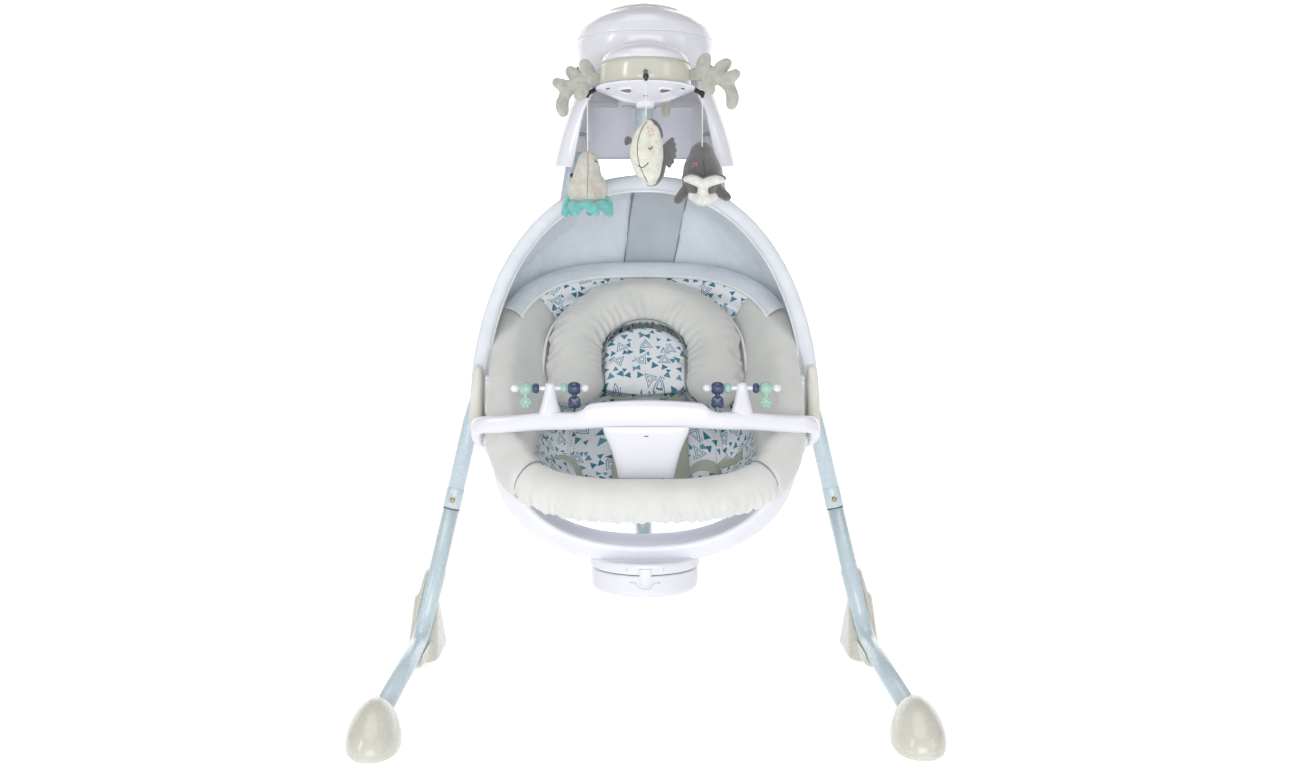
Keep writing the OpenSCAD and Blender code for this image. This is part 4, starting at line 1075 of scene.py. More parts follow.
BARREL = [(3.4, -8.8), (5.6, -8.6), (7.2, -7.4), (8.8, -3.8), (9.3, 0), (8.8, 3.8), (7.2, 7.4), (5.6, 8.6),
          (3.4, 8.8)]
BEAD = [(3.2, -4.9), (5, -4.5), (6.8, -2.7), (7.3, 0), (6.8, 2.7), (5, 4.5), (3.2, 4.9)]
# Each turning toy: body, CAD node, X, colour, its small bead's X and colour, and the charm's outline
TOYS = [("spinner_a", "spinner_1", -170.5, "mint", -156, "navy", "flower"),
        ("spinner_b", "spinner_2", -101.5, "navy", -116, "mint", "butterfly"),
        ("spinner_c", "spinner_3", 101.5, "navy", 116, "mint", "butterfly"),
        ("spinner_d", "spinner_4", 170.5, "mint", 156, "navy", "flower")]


def charm_outline(kind):
    """(x, z) outline of a flat charm about its centre."""
    pts = []
    for a in np.linspace(0, 2 * math.pi, 96, endpoint=False):
        if kind == "flower":
            r = 8.3 + 0.9 * math.cos(6 * a)
        else:
            wing = 1.9 if math.sin(a) < 0.3 else 0.76
            notch = 1.8 * math.exp(-((a - 4.71) / 0.28) ** 2)
            r = 8.6 + wing * abs(math.sin(a * 2)) ** 1.5 - notch
        pts.append((r * math.cos(a), r * math.sin(a)))
    return arr(pts)


for body, cad_node, x, color, bead_x, bead_color, kind in TOYS:
    centre = (x, TOY_AXLE_Y, TOY_AXLE_Z)
    barrel = turned(f"{body}_barrel", BARREL, centre, body, MAT[color], f"{color}_plastic", 48,
                    axis=(1, 0, 0))
    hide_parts(cad_node)
    turned(f"{body}_bead", BEAD, (bead_x, TOY_AXLE_Y, TOY_AXLE_Z), body, MAT[bead_color],
           f"{bead_color}_plastic",
           40, axis=(1, 0, 0))
    outline = charm_outline(kind)
    rings = []
    for y, size in ((-2.6, 0.02), (-2.6, 0.9), (-2.2, 0.97), (-1.2, 1.0), (1.2, 1.0), (2.2, 0.97), (2.6, 0.9),
                    (2.6, 0.02)):
        rings.append([(x + px * size, TOY_AXLE_Y + y, TOY_AXLE_Z - 19.5 + pz * size) for px, pz in outline])
    loft(f"{body}_charm", rings, body, MAT[color], f"{color}_plastic", caps=False)
    tube(f"{body}_neck", [(x, TOY_AXLE_Y, TOY_AXLE_Z - 6), (x, TOY_AXLE_Y, TOY_AXLE_Z - 10),
                                 (x, TOY_AXLE_Y, TOY_AXLE_Z - 15)], [5.2, 3.4, 3.6], body, MAT[color],
                f"{color}_plastic", 20)
    petals = 6 if kind == "flower" else 2
    for k in range(petals):
        a = 2 * math.pi * k / petals
        at = arr((x + 4.6 * math.cos(a), TOY_AXLE_Y - 2.7, TOY_AXLE_Z - 19.5 + 4.6 * math.sin(a)))
        turned(f"{body}_relief_{k}", [(0.1, 0.8), (1.6, 0.6), (2.3, 0), (2.4, -0.6)], at, body, MAT[color],
               f"{color}_plastic", 20, axis=(0, -1, 0))

POST = [(388, 38, 9, -231), (389.5, 40, 11, -231), (400, 42, 12, -232), (425, 48.5, 12, -233.6),
        (440, 54, 12, -235), (454, 60, 11.4, -237), (462.5, 61, 11, -237)]
rings = []
for z, a, b, cy in catmull(POST, 5):
    p = super_point(a, b, 4, np.linspace(0, 360, 88, endpoint=False))
    rings.append(np.stack([p[:, 0], p[:, 1] + cy, np.full(88, z)], axis=-1))
post = loft("crotch_guard", rings, "tray", MAT["white"], "white_plastic")
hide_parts("crotch_post")
rod("guard_mark", (-3, -248.6, 449.5), (3, -248.6, 449.5), 0.7, "tray", MAT["dark"], "dark_plastic", 10)


# ---- Soft goods ----

def puff(obj, pressure=4.0, cap=8.0, voxel=5.0, seed=3, frames=18, wrinkle=0.9, scale=60, levels=1):
    """Fills a soft piece like a cushion: remesh, a short cloth run under pressure, then small folds."""
    mod(obj, "REMESH", mode="VOXEL", voxel_size=voxel * MM)
    apply_all(obj)
    rest = mesh_points(obj)
    cloth_mod = obj.modifiers.new("Cloth", "CLOTH")
    settings = cloth_mod.settings
    settings.quality = 4
    settings.mass = 0.2
    settings.tension_stiffness = 12
    settings.compression_stiffness = 12
    settings.shear_stiffness = 4
    settings.bending_stiffness = 0.6
    settings.shrink_min = -0.035
    settings.use_pressure = True
    settings.uniform_pressure_force = pressure
    settings.effector_weights.gravity = 0
    cloth_mod.collision_settings.use_collision = False
    scene = bpy.context.scene
    for frame_number in range(1, frames + 1):
        scene.frame_set(frame_number)
    apply_all(obj)
    moved = mesh_points(obj) - rest
    size = np.linalg.norm(moved, axis=1)[:, None]
    moved = moved * np.minimum(1, cap / np.maximum(size, 1e-6))
    rest = rest + moved
    scene.frame_set(1)
    set_points(obj, rest)
    rest = rest + mesh_normals(obj) * (waves(rest, seed, scale) * wrinkle)[:, None]
    set_points(obj, rest)
    mod(obj, "SMOOTH", factor=0.5, iterations=3)
    mod(obj, "SUBSURF", levels=levels, render_levels=levels)
    apply_all(obj)
    obj.data.polygons.foreach_set("use_smooth", [True] * len(obj.data.polygons))
    return obj


def finish_cushion(obj, material, slot, body, *nodes, fill=0.7):
    obj.data.materials.clear()
    obj.data.materials.append(material)
    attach(obj, body)
    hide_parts(*nodes)
    return obj


def rim_point(degrees):
    p = super_point(RIM_W, RIM_L, 3, degrees)
    return np.stack([p[..., 0], p[..., 1], np.zeros_like(p[..., 0])], axis=-1)


def rim_angle(x):
    return math.degrees(math.acos((x / RIM_W) ** 1.5))


def piping(name, path, r, body, material, slot, closed=False, sides=10):
    return tube(name, path, r, body, material, slot, sides, closed)


def stitches(name, path, body, material, slot, length=3.2, gap=2.2, r=0.45):
    """A row of thread stitches along a path, as one mesh."""
    path = arr(path)
    lengths = np.concatenate([[0], np.cumsum(np.linalg.norm(np.diff(path, axis=0), axis=1))])
    points, faces = [], []
    d = 0.0
    while d + length < lengths[-1]:
        a, b = (arr([np.interp(v, lengths, path[:, k]) for k in range(3)]) for v in (d, d + length))
        t = unit(b - a)
        side = unit(np.cross(t, (0.3, 0.2, 1)))
        up = np.cross(t, side)
        base = len(points)
        for share, radius in ((0, 0.3), (0.15, 1), (0.85, 1), (1, 0.3)):
            for k in range(6):
                angle = math.pi * k / 3
                around = math.cos(angle) * side + math.sin(angle) * up
                points.append(a + (b - a) * share + r * radius * around)
        for i in range(3):
            for k in range(6):
                faces.append((base + i * 6 + k, base + i * 6 + (k + 1) % 6,
                              base + (i + 1) * 6 + (k + 1) % 6, base + (i + 1) * 6 + k))
        d += length + gap
    return build(name, points, faces, body, material, slot)


# ---- Seat padding ----

FRONT_ANGLE, REAR_ANGLE = rim_angle(164), rim_angle(176)


def roll(name, start_angle, end_angle, radius, count=70):
    """Round roll on the rim, with softly closed ends."""
    angles = np.linspace(start_angle, end_angle, count)
    path = rim_point(angles)
    t, side, up = ref_frames(path, (0, 0, 1))
    f = np.linspace(0, 1, count)
    ends = np.minimum(1, np.minimum(f, 1 - f) / 0.012)
    radii = radius * (0.9 + 0.1 * np.sqrt(1 - (1 - ends) ** 2))
    rings = ring_points(radii, 26, path, side, up)
    return loft(name, in_seat(rings), None, None)


front_roll = roll("roll_front", 180 + FRONT_ANGLE + 0.25, 360 - FRONT_ANGLE - 0.25, 29.5)
puff(front_roll, 3, 5, 4.5, seed=5, wrinkle=0.7, scale=55)


def gather(obj, amount, seed, low=True):
    """Pulls small pleats into a roll, strongest along its underside."""
    p = mesh_points(obj)
    local = to_seat(p)
    along = np.degrees(np.arctan2(local[:, 1] / RIM_L, local[:, 0] / RIM_W))
    n = mesh_normals(obj)
    under = np.clip((-n[:, 2] if low else n[:, 2]) + 0.25, 0, 1)
    pleat = np.sin(along * 1.15 + waves(p, seed, 60, 2) * 3.4)
    ripple = np.sin(along * 2.4 + waves(p, seed + 1, 40, 2) * 3)
    pleat = pleat * (0.6 + 0.5 * waves(p, seed + 2, 80)) + 0.5 * ripple
    set_points(obj, p + n * (pleat * under * amount)[:, None])


gather(front_roll, 2.3, 21)
finish_cushion(front_roll, MAT["grey"], "grey_fabric", "seat", "front_roll")

rear_roll = roll("roll_rear", REAR_ANGLE + 0.7, 180 - REAR_ANGLE - 0.7, 29)
puff(rear_roll, 3, 5, 5, seed=6, wrinkle=0.8, scale=60)
local = to_seat(mesh_points(rear_roll))
mesh = rear_roll.data
layer = mesh.uv_layers.new(name="UVMap")
corner = np.zeros(len(mesh.loops), int)
mesh.loops.foreach_get("vertex_index", corner)
around = np.stack([local[:, 0], local[:, 1] + local[:, 2] * 0.8], axis=-1)
layer.data.foreach_set("uv", (around[corner] * MM).ravel())
finish_cushion(rear_roll, MAT["print"], "print_fabric", "seat", "rear_roll")

BOLSTER_FACE = 232.5
BOLSTER_SECTION = np.linspace(0, 2 * math.pi, 34, endpoint=False)


def bolster_rings(side, count=64):
    """Padding over the side of the rim; towards the back it widens into the seat."""
    rings = []
    angles = np.linspace(-FRONT_ANGLE + 0.25, REAR_ANGLE - 0.5, count)
    path = rim_point(angles)
    t, across, up = ref_frames(path, (0, 0, 1))
    for k in range(count):
        f = k / (count - 1)
        outer = 30.5 - 14 * math.sin(math.pi * f)
        wide = float(np.interp(f, (0, 0.12, 0.4, 0.62, 0.92, 1), (0.05, 0.16, 0.66, 1.0, 1.0, 0.9)))
        end = min(1, min(f, 1 - f) / 0.015)
        grow = 0.9 + 0.1 * math.sqrt(1 - (1 - end) ** 2)
        out = across[k] * (1 if across[k][0] > 0 else -1)
        out = unit((out[0], out[1], 0)) if abs(out[0]) > 1e-6 else arr((0, 1, 0))
        if out @ arr((path[k][0], path[k][1], 0)) < 0:
            out = -out
        ring = []
        for a in BOLSTER_SECTION:
            c, s = math.cos(a), math.sin(a)
            if c >= 0:
                n, z = outer * c, 30.5 * s
            else:
                reach = -c * (30.5 + 56 * wide)
                half = 30.5 * (1 - 0.62 * wide * (-c) ** 1.3)
                n, z = -reach, -0.86 * wide * max(0, reach - 14) + s * half
            ring.append(path[k] + grow * n * out + (0, 0, grow * z))
        rings.append(ring)
    rings = arr(rings) * (side, 1, 1)
    return in_seat(rings)


for word, side in SIDES:
    bolster = loft(f"side_bolster_{word}", bolster_rings(side), None, None)
    puff(bolster, 3, 6, 5, seed=8 + side, wrinkle=1.1, scale=85)
    points = mesh_points(bolster)
    points[:, 0] = np.clip(points[:, 0], -BOLSTER_FACE, BOLSTER_FACE)
    set_points(bolster, points)
    finish_cushion(bolster, MAT["grey"], "grey_fabric", "seat", f"bolster_{word}")

# Dark piped seams where the front roll meets the bolsters
for word, side in SIDES:
    angle = (360 - FRONT_ANGLE) if side > 0 else (180 + FRONT_ANGLE)
    path = rim_point(np.array([angle - 0.6, angle, angle + 0.6]))
    _, across, up = ref_frames(path, (0, 0, 1))
    ring = ring_points([29.6] * 3, 60, path, across, up)[1]
    piping(f"seam_piping_{word}", in_seat(ring), 1.0, "seat", MAT["seam"], "grey_fabric", closed=True)

# Bucket: printed cloth stretched between the rolls
BUCKET = [(2, 194, 220, 0), (12, 186, 210, 0), (40, 176, 187, -9), (70, 157, 127, -72), (96, 128, 85, -102),
          (106, 88, 52, -106), (108, 40, 24, -107), (108.4, 2, 2, -107)]
bucket_rows = catmull(BUCKET, 7)
angles = np.linspace(0, 360, 120, endpoint=False)
grid = []
for depth, a, b, cy in bucket_rows:
    power = 2.8 if a > 60 else 2.2
    p = super_point(a, b, power, angles)
    grid.append(np.stack([p[:, 0], p[:, 1] + cy, np.full(len(angles), -depth)], axis=-1))
grid = arr(grid)
steps = np.linalg.norm(np.diff(grid, axis=0), axis=2)
climb = np.concatenate([np.cumsum(steps[::-1], axis=0)[::-1], np.zeros((1, len(angles)))])
heading = grid[0] - (0, -60, 0)
heading = heading[:, :2] / np.linalg.norm(heading[:, :2], axis=1)[:, None]
bucket_uv = climb[:, :, None] * heading[None]
flat_points = grid.reshape(-1, 3)
dents = waves(flat_points, 31, 70) * 1.6
world_grid = in_seat(grid + np.stack([0 * climb, 0 * climb, dents.reshape(climb.shape)], axis=-1))
bucket = sheet("seat_liner", world_grid, None, MAT["print"], "print_fabric", uv=bucket_uv, wrap=True)
mod(bucket, "SOLIDIFY", thickness=4 * MM, offset=-1)
apply_all(bucket)
finish_cushion(bucket, MAT["print"], "print_fabric", "seat", "seat_bucket", fill=0.2)


def on_bucket(x, y, lift=2.0):
    """Point in the row frame just above the liner at a seat X and Y."""
    level = np.linspace(0, len(bucket_rows) - 1, 160)
    best, depth = 1e9, 0
    for value in level:
        d, a, b, cy = (np.interp(value, range(len(bucket_rows)), bucket_rows[:, k]) for k in range(4))
        off = abs((abs(x) / a) ** 2.8 + (abs(y - cy) / b) ** 2.8 - 1)
        if off < best:
            best, depth = off, d
    return in_seat(arr((x, y, -depth + lift)))


# Sewn panel edges inside the seat, with white piping
for word, side in SIDES:
    path = arr([on_bucket(side * x, y, 1.5) for x, y in
                ((96, 60), (108, 10), (116, -40), (114, -84), (98, -128), (70, -160), (52, -182))])
    smooth_path = catmull(path, 8)
    piping(f"panel_piping_{word}", smooth_path, 2.4, "seat", MAT["binding"], "print_fabric")
    inner = catmull(path * (0.93, 1, 1) + (0, 0, 1), 8)
    stitches(f"panel_stitch_{word}", inner, "seat", MAT["thread"], "print_fabric", 2.6, 2.4, 0.35)

# ---- Head pillow ----

arch = [(108, 88, -14)]
for a in range(12, 169, 12):
    t = math.radians(a)
    arch.append((108 * math.cos(t), 88 + 92 * math.sin(t), -14 + 32 * math.sin(t)))
left_arm = [(-108, 88, -14), (-109, 62, -19), (-108, 36, -24), (-103, 14, -30), (-97, -2, -35)]
right_arm = [(x * -1, y, z) for x, y, z in left_arm[::-1]]
pillow_path = catmull(right_arm + arch[1:] + left_arm, 3)
count = len(pillow_path)
f = np.linspace(0, 1, count)
taper = np.sqrt(np.clip(1 - (1 - np.minimum(1, np.minimum(f, 1 - f) / 0.085)) ** 2, 0.01, 1))
_, across, up = ref_frames(pillow_path, (0, 0, 1))
section = np.linspace(0, 2 * math.pi, 30, endpoint=False)
rings = []
for k in range(count):
    half = 45 * (0.12 + 0.88 * taper[k])
    thick = 23 * (0.12 + 0.88 * taper[k])
    p = super_point(half, thick, 1.75, np.degrees(section))
    rings.append(pillow_path[k] + p[:, :1] * across[k] + p[:, 1:2] * up[k])
pillow = loft("pillow_roll", in_seat(rings), None, None)
puff(pillow, 5, 8, 4.5, seed=13, wrinkle=0.6, scale=45)
points = mesh_points(pillow)
local = to_seat(points)
from_centre = np.stack([local[:, 0], local[:, 1] - 80], axis=-1)
radius = np.linalg.norm(from_centre, axis=1)
turn = np.degrees(np.arctan2(from_centre[:, 1], from_centre[:, 0]))
edge = np.clip(np.abs(radius - 108) / 46, 0, 1) ** 2
pleat = np.sin(turn * 0.62 + waves(points, 41, 60, 2) * 3.2) * edge * 2.6
pleat = pleat * (0.55 + 0.6 * np.abs(waves(points, 43, 45)))
set_points(pillow, points + mesh_normals(pillow) * pleat[:, None])
finish_cushion(pillow, MAT["grey"], "grey_fabric", "seat", "head_pillow", fill=0.9)


def pillow_edge(outer):
    """Piping line round the pillow's outer or inner edge."""
    half = 47.5 if outer else -46.5
    line = []
    for k in range(2, count - 2):
        reach = half * (0.12 + 0.88 * taper[k])
        line.append(pillow_path[k] + across[k] * reach * (-1 if across[count // 2][1] > 0 else 1) * -1)
    return in_seat(arr(line))


piping("pillow_piping_a", pillow_edge(True), 2.3, "seat", MAT["binding"], "print_fabric")
piping("pillow_piping_b", pillow_edge(False), 1.0, "seat", MAT["seam"], "print_fabric")

# Printed pad sewn inside the pillow
outline = []
for a in np.linspace(0, 180, 40):
    t = math.radians(a)
    outline.append((72 * math.cos(t), 82 + 66 * math.sin(t)))
outline += [(-72, 62), (-70, 42), (-62, 27), (-40, 22), (0, 19), (40, 22), (62, 27), (70, 42), (72, 62)]
outline = arr(outline)
centre = arr((0, 74))
rings = []
PAD_SHAPE = [(-8, 0.0), (-8, 0.55), (-7, 0.88), (-3, 0.985), (0, 1.0), (3, 0.985), (8, 0.88), (12, 0.6),
             (13, 0.3), (13.2, 0.0)]
for z, share in PAD_SHAPE:
    p = centre + (outline - centre) * max(share, 0.01)
    rings.append(np.stack([p[:, 0], p[:, 1], -40 + 0.2 * (p[:, 1] - 10) + z], axis=-1))
pad = loft("pillow_liner", in_seat(rings), None, None)
puff(pad, 3, 4, 4.5, seed=15, wrinkle=0.8, scale=50)
local = to_seat(mesh_points(pad))
layer = pad.data.uv_layers.new(name="UVMap")
corner = np.zeros(len(pad.data.loops), int)
pad.data.loops.foreach_get("vertex_index", corner)
layer.data.foreach_set("uv", ((local[:, :2] + (311, 57))[corner] * MM).ravel())
finish_cushion(pad, MAT["print"], "print_fabric", "seat", "pillow_pad", fill=0.5)


# ---- Harness ----

def ribbon(name, points, width, body, material, slot, thick=1.8, facing=(0, -0.4, 1), steps=8):
    """A flat strap along a path, its broad side turned towards facing; UVs are in millimetres."""
    path = catmull(points, steps)
    t = np.gradient(path, axis=0)
    t = t / np.linalg.norm(t, axis=1)[:, None]
    facing = arr(facing)
    if facing.ndim == 1:
        facing = np.broadcast_to(facing, path.shape)
    else:
        facing = catmull(facing, steps)
    side = np.cross(t, facing)
    side = side / np.linalg.norm(side, axis=1)[:, None]
    up = np.cross(side, t)
    section = [(-0.5, 0), (-0.5, 0.3), (-0.42, 0.5), (0.42, 0.5), (0.5, 0.3), (0.5, 0), (0.5, -0.3),
               (0.42, -0.5), (-0.42, -0.5), (-0.5, -0.3)]
    rings = arr([[p + side[k] * width * a + up[k] * thick * b for a, b in section]
                 for k, p in enumerate(path)])
    rows, cols = rings.shape[:2]
    along = np.concatenate([[0], np.cumsum(np.linalg.norm(np.diff(path, axis=0), axis=1))])
    uv_grid = arr([[(a * width, d) for a, _ in section] for d in along]).reshape(-1, 2)
    faces = grid_faces(rows, cols, True)
    faces += [tuple(range(cols)), tuple((rows - 1) * cols + j for j in reversed(range(cols)))]
    loops = arr([uv_grid[v] for face in faces for v in face])
    return build(name, rings.reshape(-1, 3), faces, body, material, slot, uv=loops)


shoulder = {"left": -34, "right": 50}
for word, side in SIDES:
    x = shoulder[word]
    run = [on_bucket(x * 0.96, 34, 20), on_bucket(x, 8, 14), on_bucket(x * 1.02, -24, 6),
           on_bucket(x * 1.04, -60, 5),
           on_bucket(x * 1.06, -96, 4), on_bucket(x * 1.04, -124, 4)]
    strap = ribbon(f"shoulder_strap_{word}", run, 29, "seat", MAT["webbing"], "sage_webbing")
    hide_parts("harness_straps")

hip_left = [in_seat(arr(p)) for p in ((-136, -92, -66), (-120, -104, -56), (-104, -122, -54),
                                      (-94, -142, -64), (-88, -156, -82), (-80, -160, -92))]
hip = ribbon("hip_strap_left", hip_left, 26, "seat", MAT["webbing"], "sage_webbing",
             facing=[(0.3, -0.5, 1), (0.5, -0.4, 0.8), (0.8, -0.3, 0.5), (0.9, -0.2, 0.4), (0.8, -0.4, 0.4),
                     (0.5, -0.5, 0.7)])
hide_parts("harness_straps")
hip_right = [in_seat(arr(p)) for p in ((62, -112, -90), (70, -118, -66), (86, -124, -52), (104, -130, -56),
                                       (110, -138, -74), (104, -146, -90))]
hip = ribbon("hip_strap_right", hip_right, 27, "seat", MAT["webbing"], "sage_webbing",
             facing=[(-0.8, -0.3, 0.5), (-0.5, -0.4, 0.8), (0.0, -0.5, 1), (0.5, -0.4, 0.8),
                     (0.9, -0.3, 0.3), (0.9, -0.3, -0.2)])
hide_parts("harness_straps")
tail_run = [in_seat(arr(p)) for p in ((112, -96, -72), (120, -106, -66), (132, -112, -54), (142, -112, -40))]
tail = ribbon("strap_tail_right", tail_run, 19, "seat", MAT["webbing"], "sage_webbing",
              facing=(-0.4, -0.5, 1))
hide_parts("harness_straps")
for word, side in SIDES:
    at = in_seat(arr((side * (90 if side > 0 else 86), -146, -92)))
    cad_material("harness_buckle", MAT["sage_plastic"])
    clip = []
    for z, share in ((-4, 0.7), (-3.4, 0.94), (0, 1), (3.4, 0.94), (4.4, 0.6), (4.6, 0.05)):
        p = super_point(14 * share, 9 * share, 3, np.linspace(0, 360, 40, endpoint=False))
        clip.append(np.stack([p[:, 0], p[:, 1], np.full(40, z)], axis=-1))
    tilt = math.radians(38)
    clip = arr(clip)
    clip = np.stack([clip[..., 0], clip[..., 1] * math.cos(tilt) - clip[..., 2] * math.sin(tilt),
                     clip[..., 1] * math.sin(tilt) + clip[..., 2] * math.cos(tilt)], axis=-1) + at
    buckle = loft(f"buckle_{word}", clip, "seat", MAT["sage_plastic"], "sage_plastic")
    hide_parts("harness_buckle")


# ---- Canopy ----

HOOD_FROM = 9


def hood_point(s, t, inset=0.0):
    s, t = np.broadcast_arrays(arr(s), arr(t))
    phi = np.radians(HOOD_REAR_ANGLE + (BOW_ANGLE - HOOD_REAR_ANGLE) * t)
    h = HOOD_REAR_H + (CANOPY_H - HOOD_REAR_H) * t + HOOD_BULGE * np.sin(np.pi * t) - inset
    power = 3 + (2.2 - 3) * t
    a = np.radians(s)
    x = (HOOD_W - inset) * spow(np.cos(a), 2 / power)
    r = h * spow(np.sin(a), 2 / power)
    return np.stack([x, CANOPY_PIVOT[0] + r * np.cos(phi), CANOPY_PIVOT[1] + r * np.sin(phi)], axis=-1)


def hood_sheet(name, s_range, t_range, inset, material, fold, seed, cols=110, rows=26, thick=1.6,
               slot="canopy_fabric"):
    """Part of the canopy's cloth, shaped between the seat and the bow."""
    t = np.linspace(t_range[0], t_range[1], rows)[:, None]
    low, high = (arr([np.interp(v, (0, 1), pair) for v in t[:, 0]])[:, None] for pair in s_range)
    s = low + (high - low) * np.linspace(0, 1, cols)[None, :]
    grid = hood_point(s, np.broadcast_to(t, s.shape), inset)
    flat = grid.reshape(-1, 3)
    slack = np.sin(np.pi * np.clip(np.broadcast_to(t, s.shape), 0, 1)).ravel()
    inward = hood_point(s, np.broadcast_to(t, s.shape), inset + 1).reshape(-1, 3) - flat
    pulls = np.sin(s.ravel() * 0.33 + 2.6 * waves(flat, seed, 170, 2)) * 0.6 + waves(flat, seed + 1, 90)
    pulls = pulls + 0.9 * np.abs(waves(flat, seed + 2, 48, 2))
    flat = flat + inward * (pulls * fold * (0.25 + 0.75 * slack))[:, None]
    grid = flat.reshape(grid.shape)
    obj = sheet(name, grid, None, material, slot)
    shown_t = np.broadcast_to(t, s.shape).ravel()
    mod(obj, "SOLIDIFY", thickness=thick * MM, offset=0)
    apply_all(obj)
    points = mesh_points(obj)
    for start in range(0, len(points), 2000):
        block = points[start : start + 2000]
        distance = ((block[:, None] - flat[None]) ** 2).sum(2)
        distance.argmin(1)
    obj.data.polygons.foreach_set("use_smooth", [True] * len(obj.data.polygons))
    bend(obj)
    return obj


def bend(obj):
    """Bakes the piece's transform into its mesh; the front and rear edge points it works out are not used."""
    front = hood_point(90, 1)
    rear = hood_point(90, 0)
    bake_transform(obj)


s_lip = np.linspace(HOOD_FROM - 3, 180 - HOOD_FROM + 3, 150)
lip_centre = hood_point(s_lip, np.full(150, 0.985), 11.5)
lip_out = hood_point(s_lip, np.full(150, 0.985), 10.5) - lip_centre
lip_out = lip_out / np.linalg.norm(lip_out, axis=1)[:, None]
lip_t = np.gradient(lip_centre, axis=0)
lip_t = lip_t / np.linalg.norm(lip_t, axis=1)[:, None]
lip_fore = np.cross(lip_t, lip_out)
rings = []
for k in range(150):
    p = super_point(12.0, 9.0, 2.3, np.linspace(0, 360, 22, endpoint=False))
    rings.append(lip_centre[k] + p[:, :1] * lip_out[k] + p[:, 1:2] * lip_fore[k])
lip = loft("canopy_lip", rings, None, None)
mod(lip, "REMESH", mode="VOXEL", voxel_size=4 * MM)
mod(lip, "SMOOTH", factor=0.5, iterations=2)
apply_all(lip)
points = mesh_points(lip)
set_points(lip, points + mesh_normals(lip) * (waves(points, 51, 70) * 0.7)[:, None])
mod(lip, "SUBSURF", levels=1, render_levels=1)
apply_all(lip)
lip.data.polygons.foreach_set("use_smooth", [True] * len(lip.data.polygons))
finish_cushion(lip, MAT["canopy_out"], "canopy_fabric", "canopy", fill=0.8)

outer_sheet = hood_sheet("canopy_cover", ((HOOD_FROM, HOOD_FROM), (180 - HOOD_FROM, 180 - HOOD_FROM)),
                         (0, 0.985), 0.8, MAT["canopy_out"], 0.9, 61)
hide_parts("canopy_hood")


def s_at(x, t, inset=5.0):
    """The hood's parameter angle above a given X."""
    power = 3 + (2.2 - 3) * t
    return math.degrees(math.acos(np.sign(x) * (abs(x) / (HOOD_W - inset)) ** (power / 2)))


panel_left = (s_at(-33, 0), s_at(-12, 1))
panel_right = (s_at(47, 0), s_at(72, 1))
hood_sheet("lining_right", ((HOOD_FROM, HOOD_FROM), panel_right), (0.0, 0.97), 5.5, MAT["canopy_in"], 4.2,
           71, 70)
hood_sheet("lining_centre", (panel_right, panel_left), (0.0, 0.97), 4.6, MAT["canopy_mid"], 0.9, 81, 24)
hood_sheet("lining_left", (panel_left, (180 - HOOD_FROM, 180 - HOOD_FROM)), (0.0, 0.97), 5.5,
           MAT["canopy_in"], 4.2, 91, 70)

for i, pair in enumerate((panel_left, panel_right)):
    t = np.linspace(0, 0.97, 24)
    path = hood_point(np.interp(t, (0, 1), pair), t, 6.0)
    seam = piping(f"lining_seam_{i + 1}", path, 1.0, None, MAT["seam"], "canopy_fabric")
    bend(seam)
s_edge = np.linspace(HOOD_FROM, 180 - HOOD_FROM, 130)
# Bound hem of the lining, laid over the top of the rear roll
hem_path = rim_point(np.linspace(24, 156, 110))
outward = hem_path / np.linalg.norm(hem_path, axis=1)[:, None]
HEM_LIFT = 33.5
hem_rows = []
for degrees in np.linspace(62, 124, 9):
    c, s = math.cos(math.radians(degrees)), math.sin(math.radians(degrees))
    hem_rows.append(hem_path + HEM_LIFT * (outward * c + arr((0, 0, 1)) * s))
hem_grid = in_seat(arr(hem_rows))
hem = sheet("canopy_hem", hem_grid, None, MAT["canopy_in"], "canopy_fabric")
mod(hem, "SOLIDIFY", thickness=1.6 * MM, offset=0)
apply_all(hem)
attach(hem, "seat")
piping("rear_binding", hem_grid[-1], 3.0, "seat", MAT["binding"], "canopy_fabric")
inner_edge = hood_point(s_edge, np.full(130, 0.955), 22.5)
piping("lip_binding", inner_edge, 2.6, "canopy", MAT["binding"], "canopy_fabric")
outer_edge = hood_point(s_edge, np.full(130, 0.96), 1.2)
piping("lip_seam", outer_edge, 1.5, "canopy", MAT["binding"], "canopy_fabric")
cad_material("canopy_bow", MAT["steel"])


# ---- Soft shapes built from rounded limbs ----

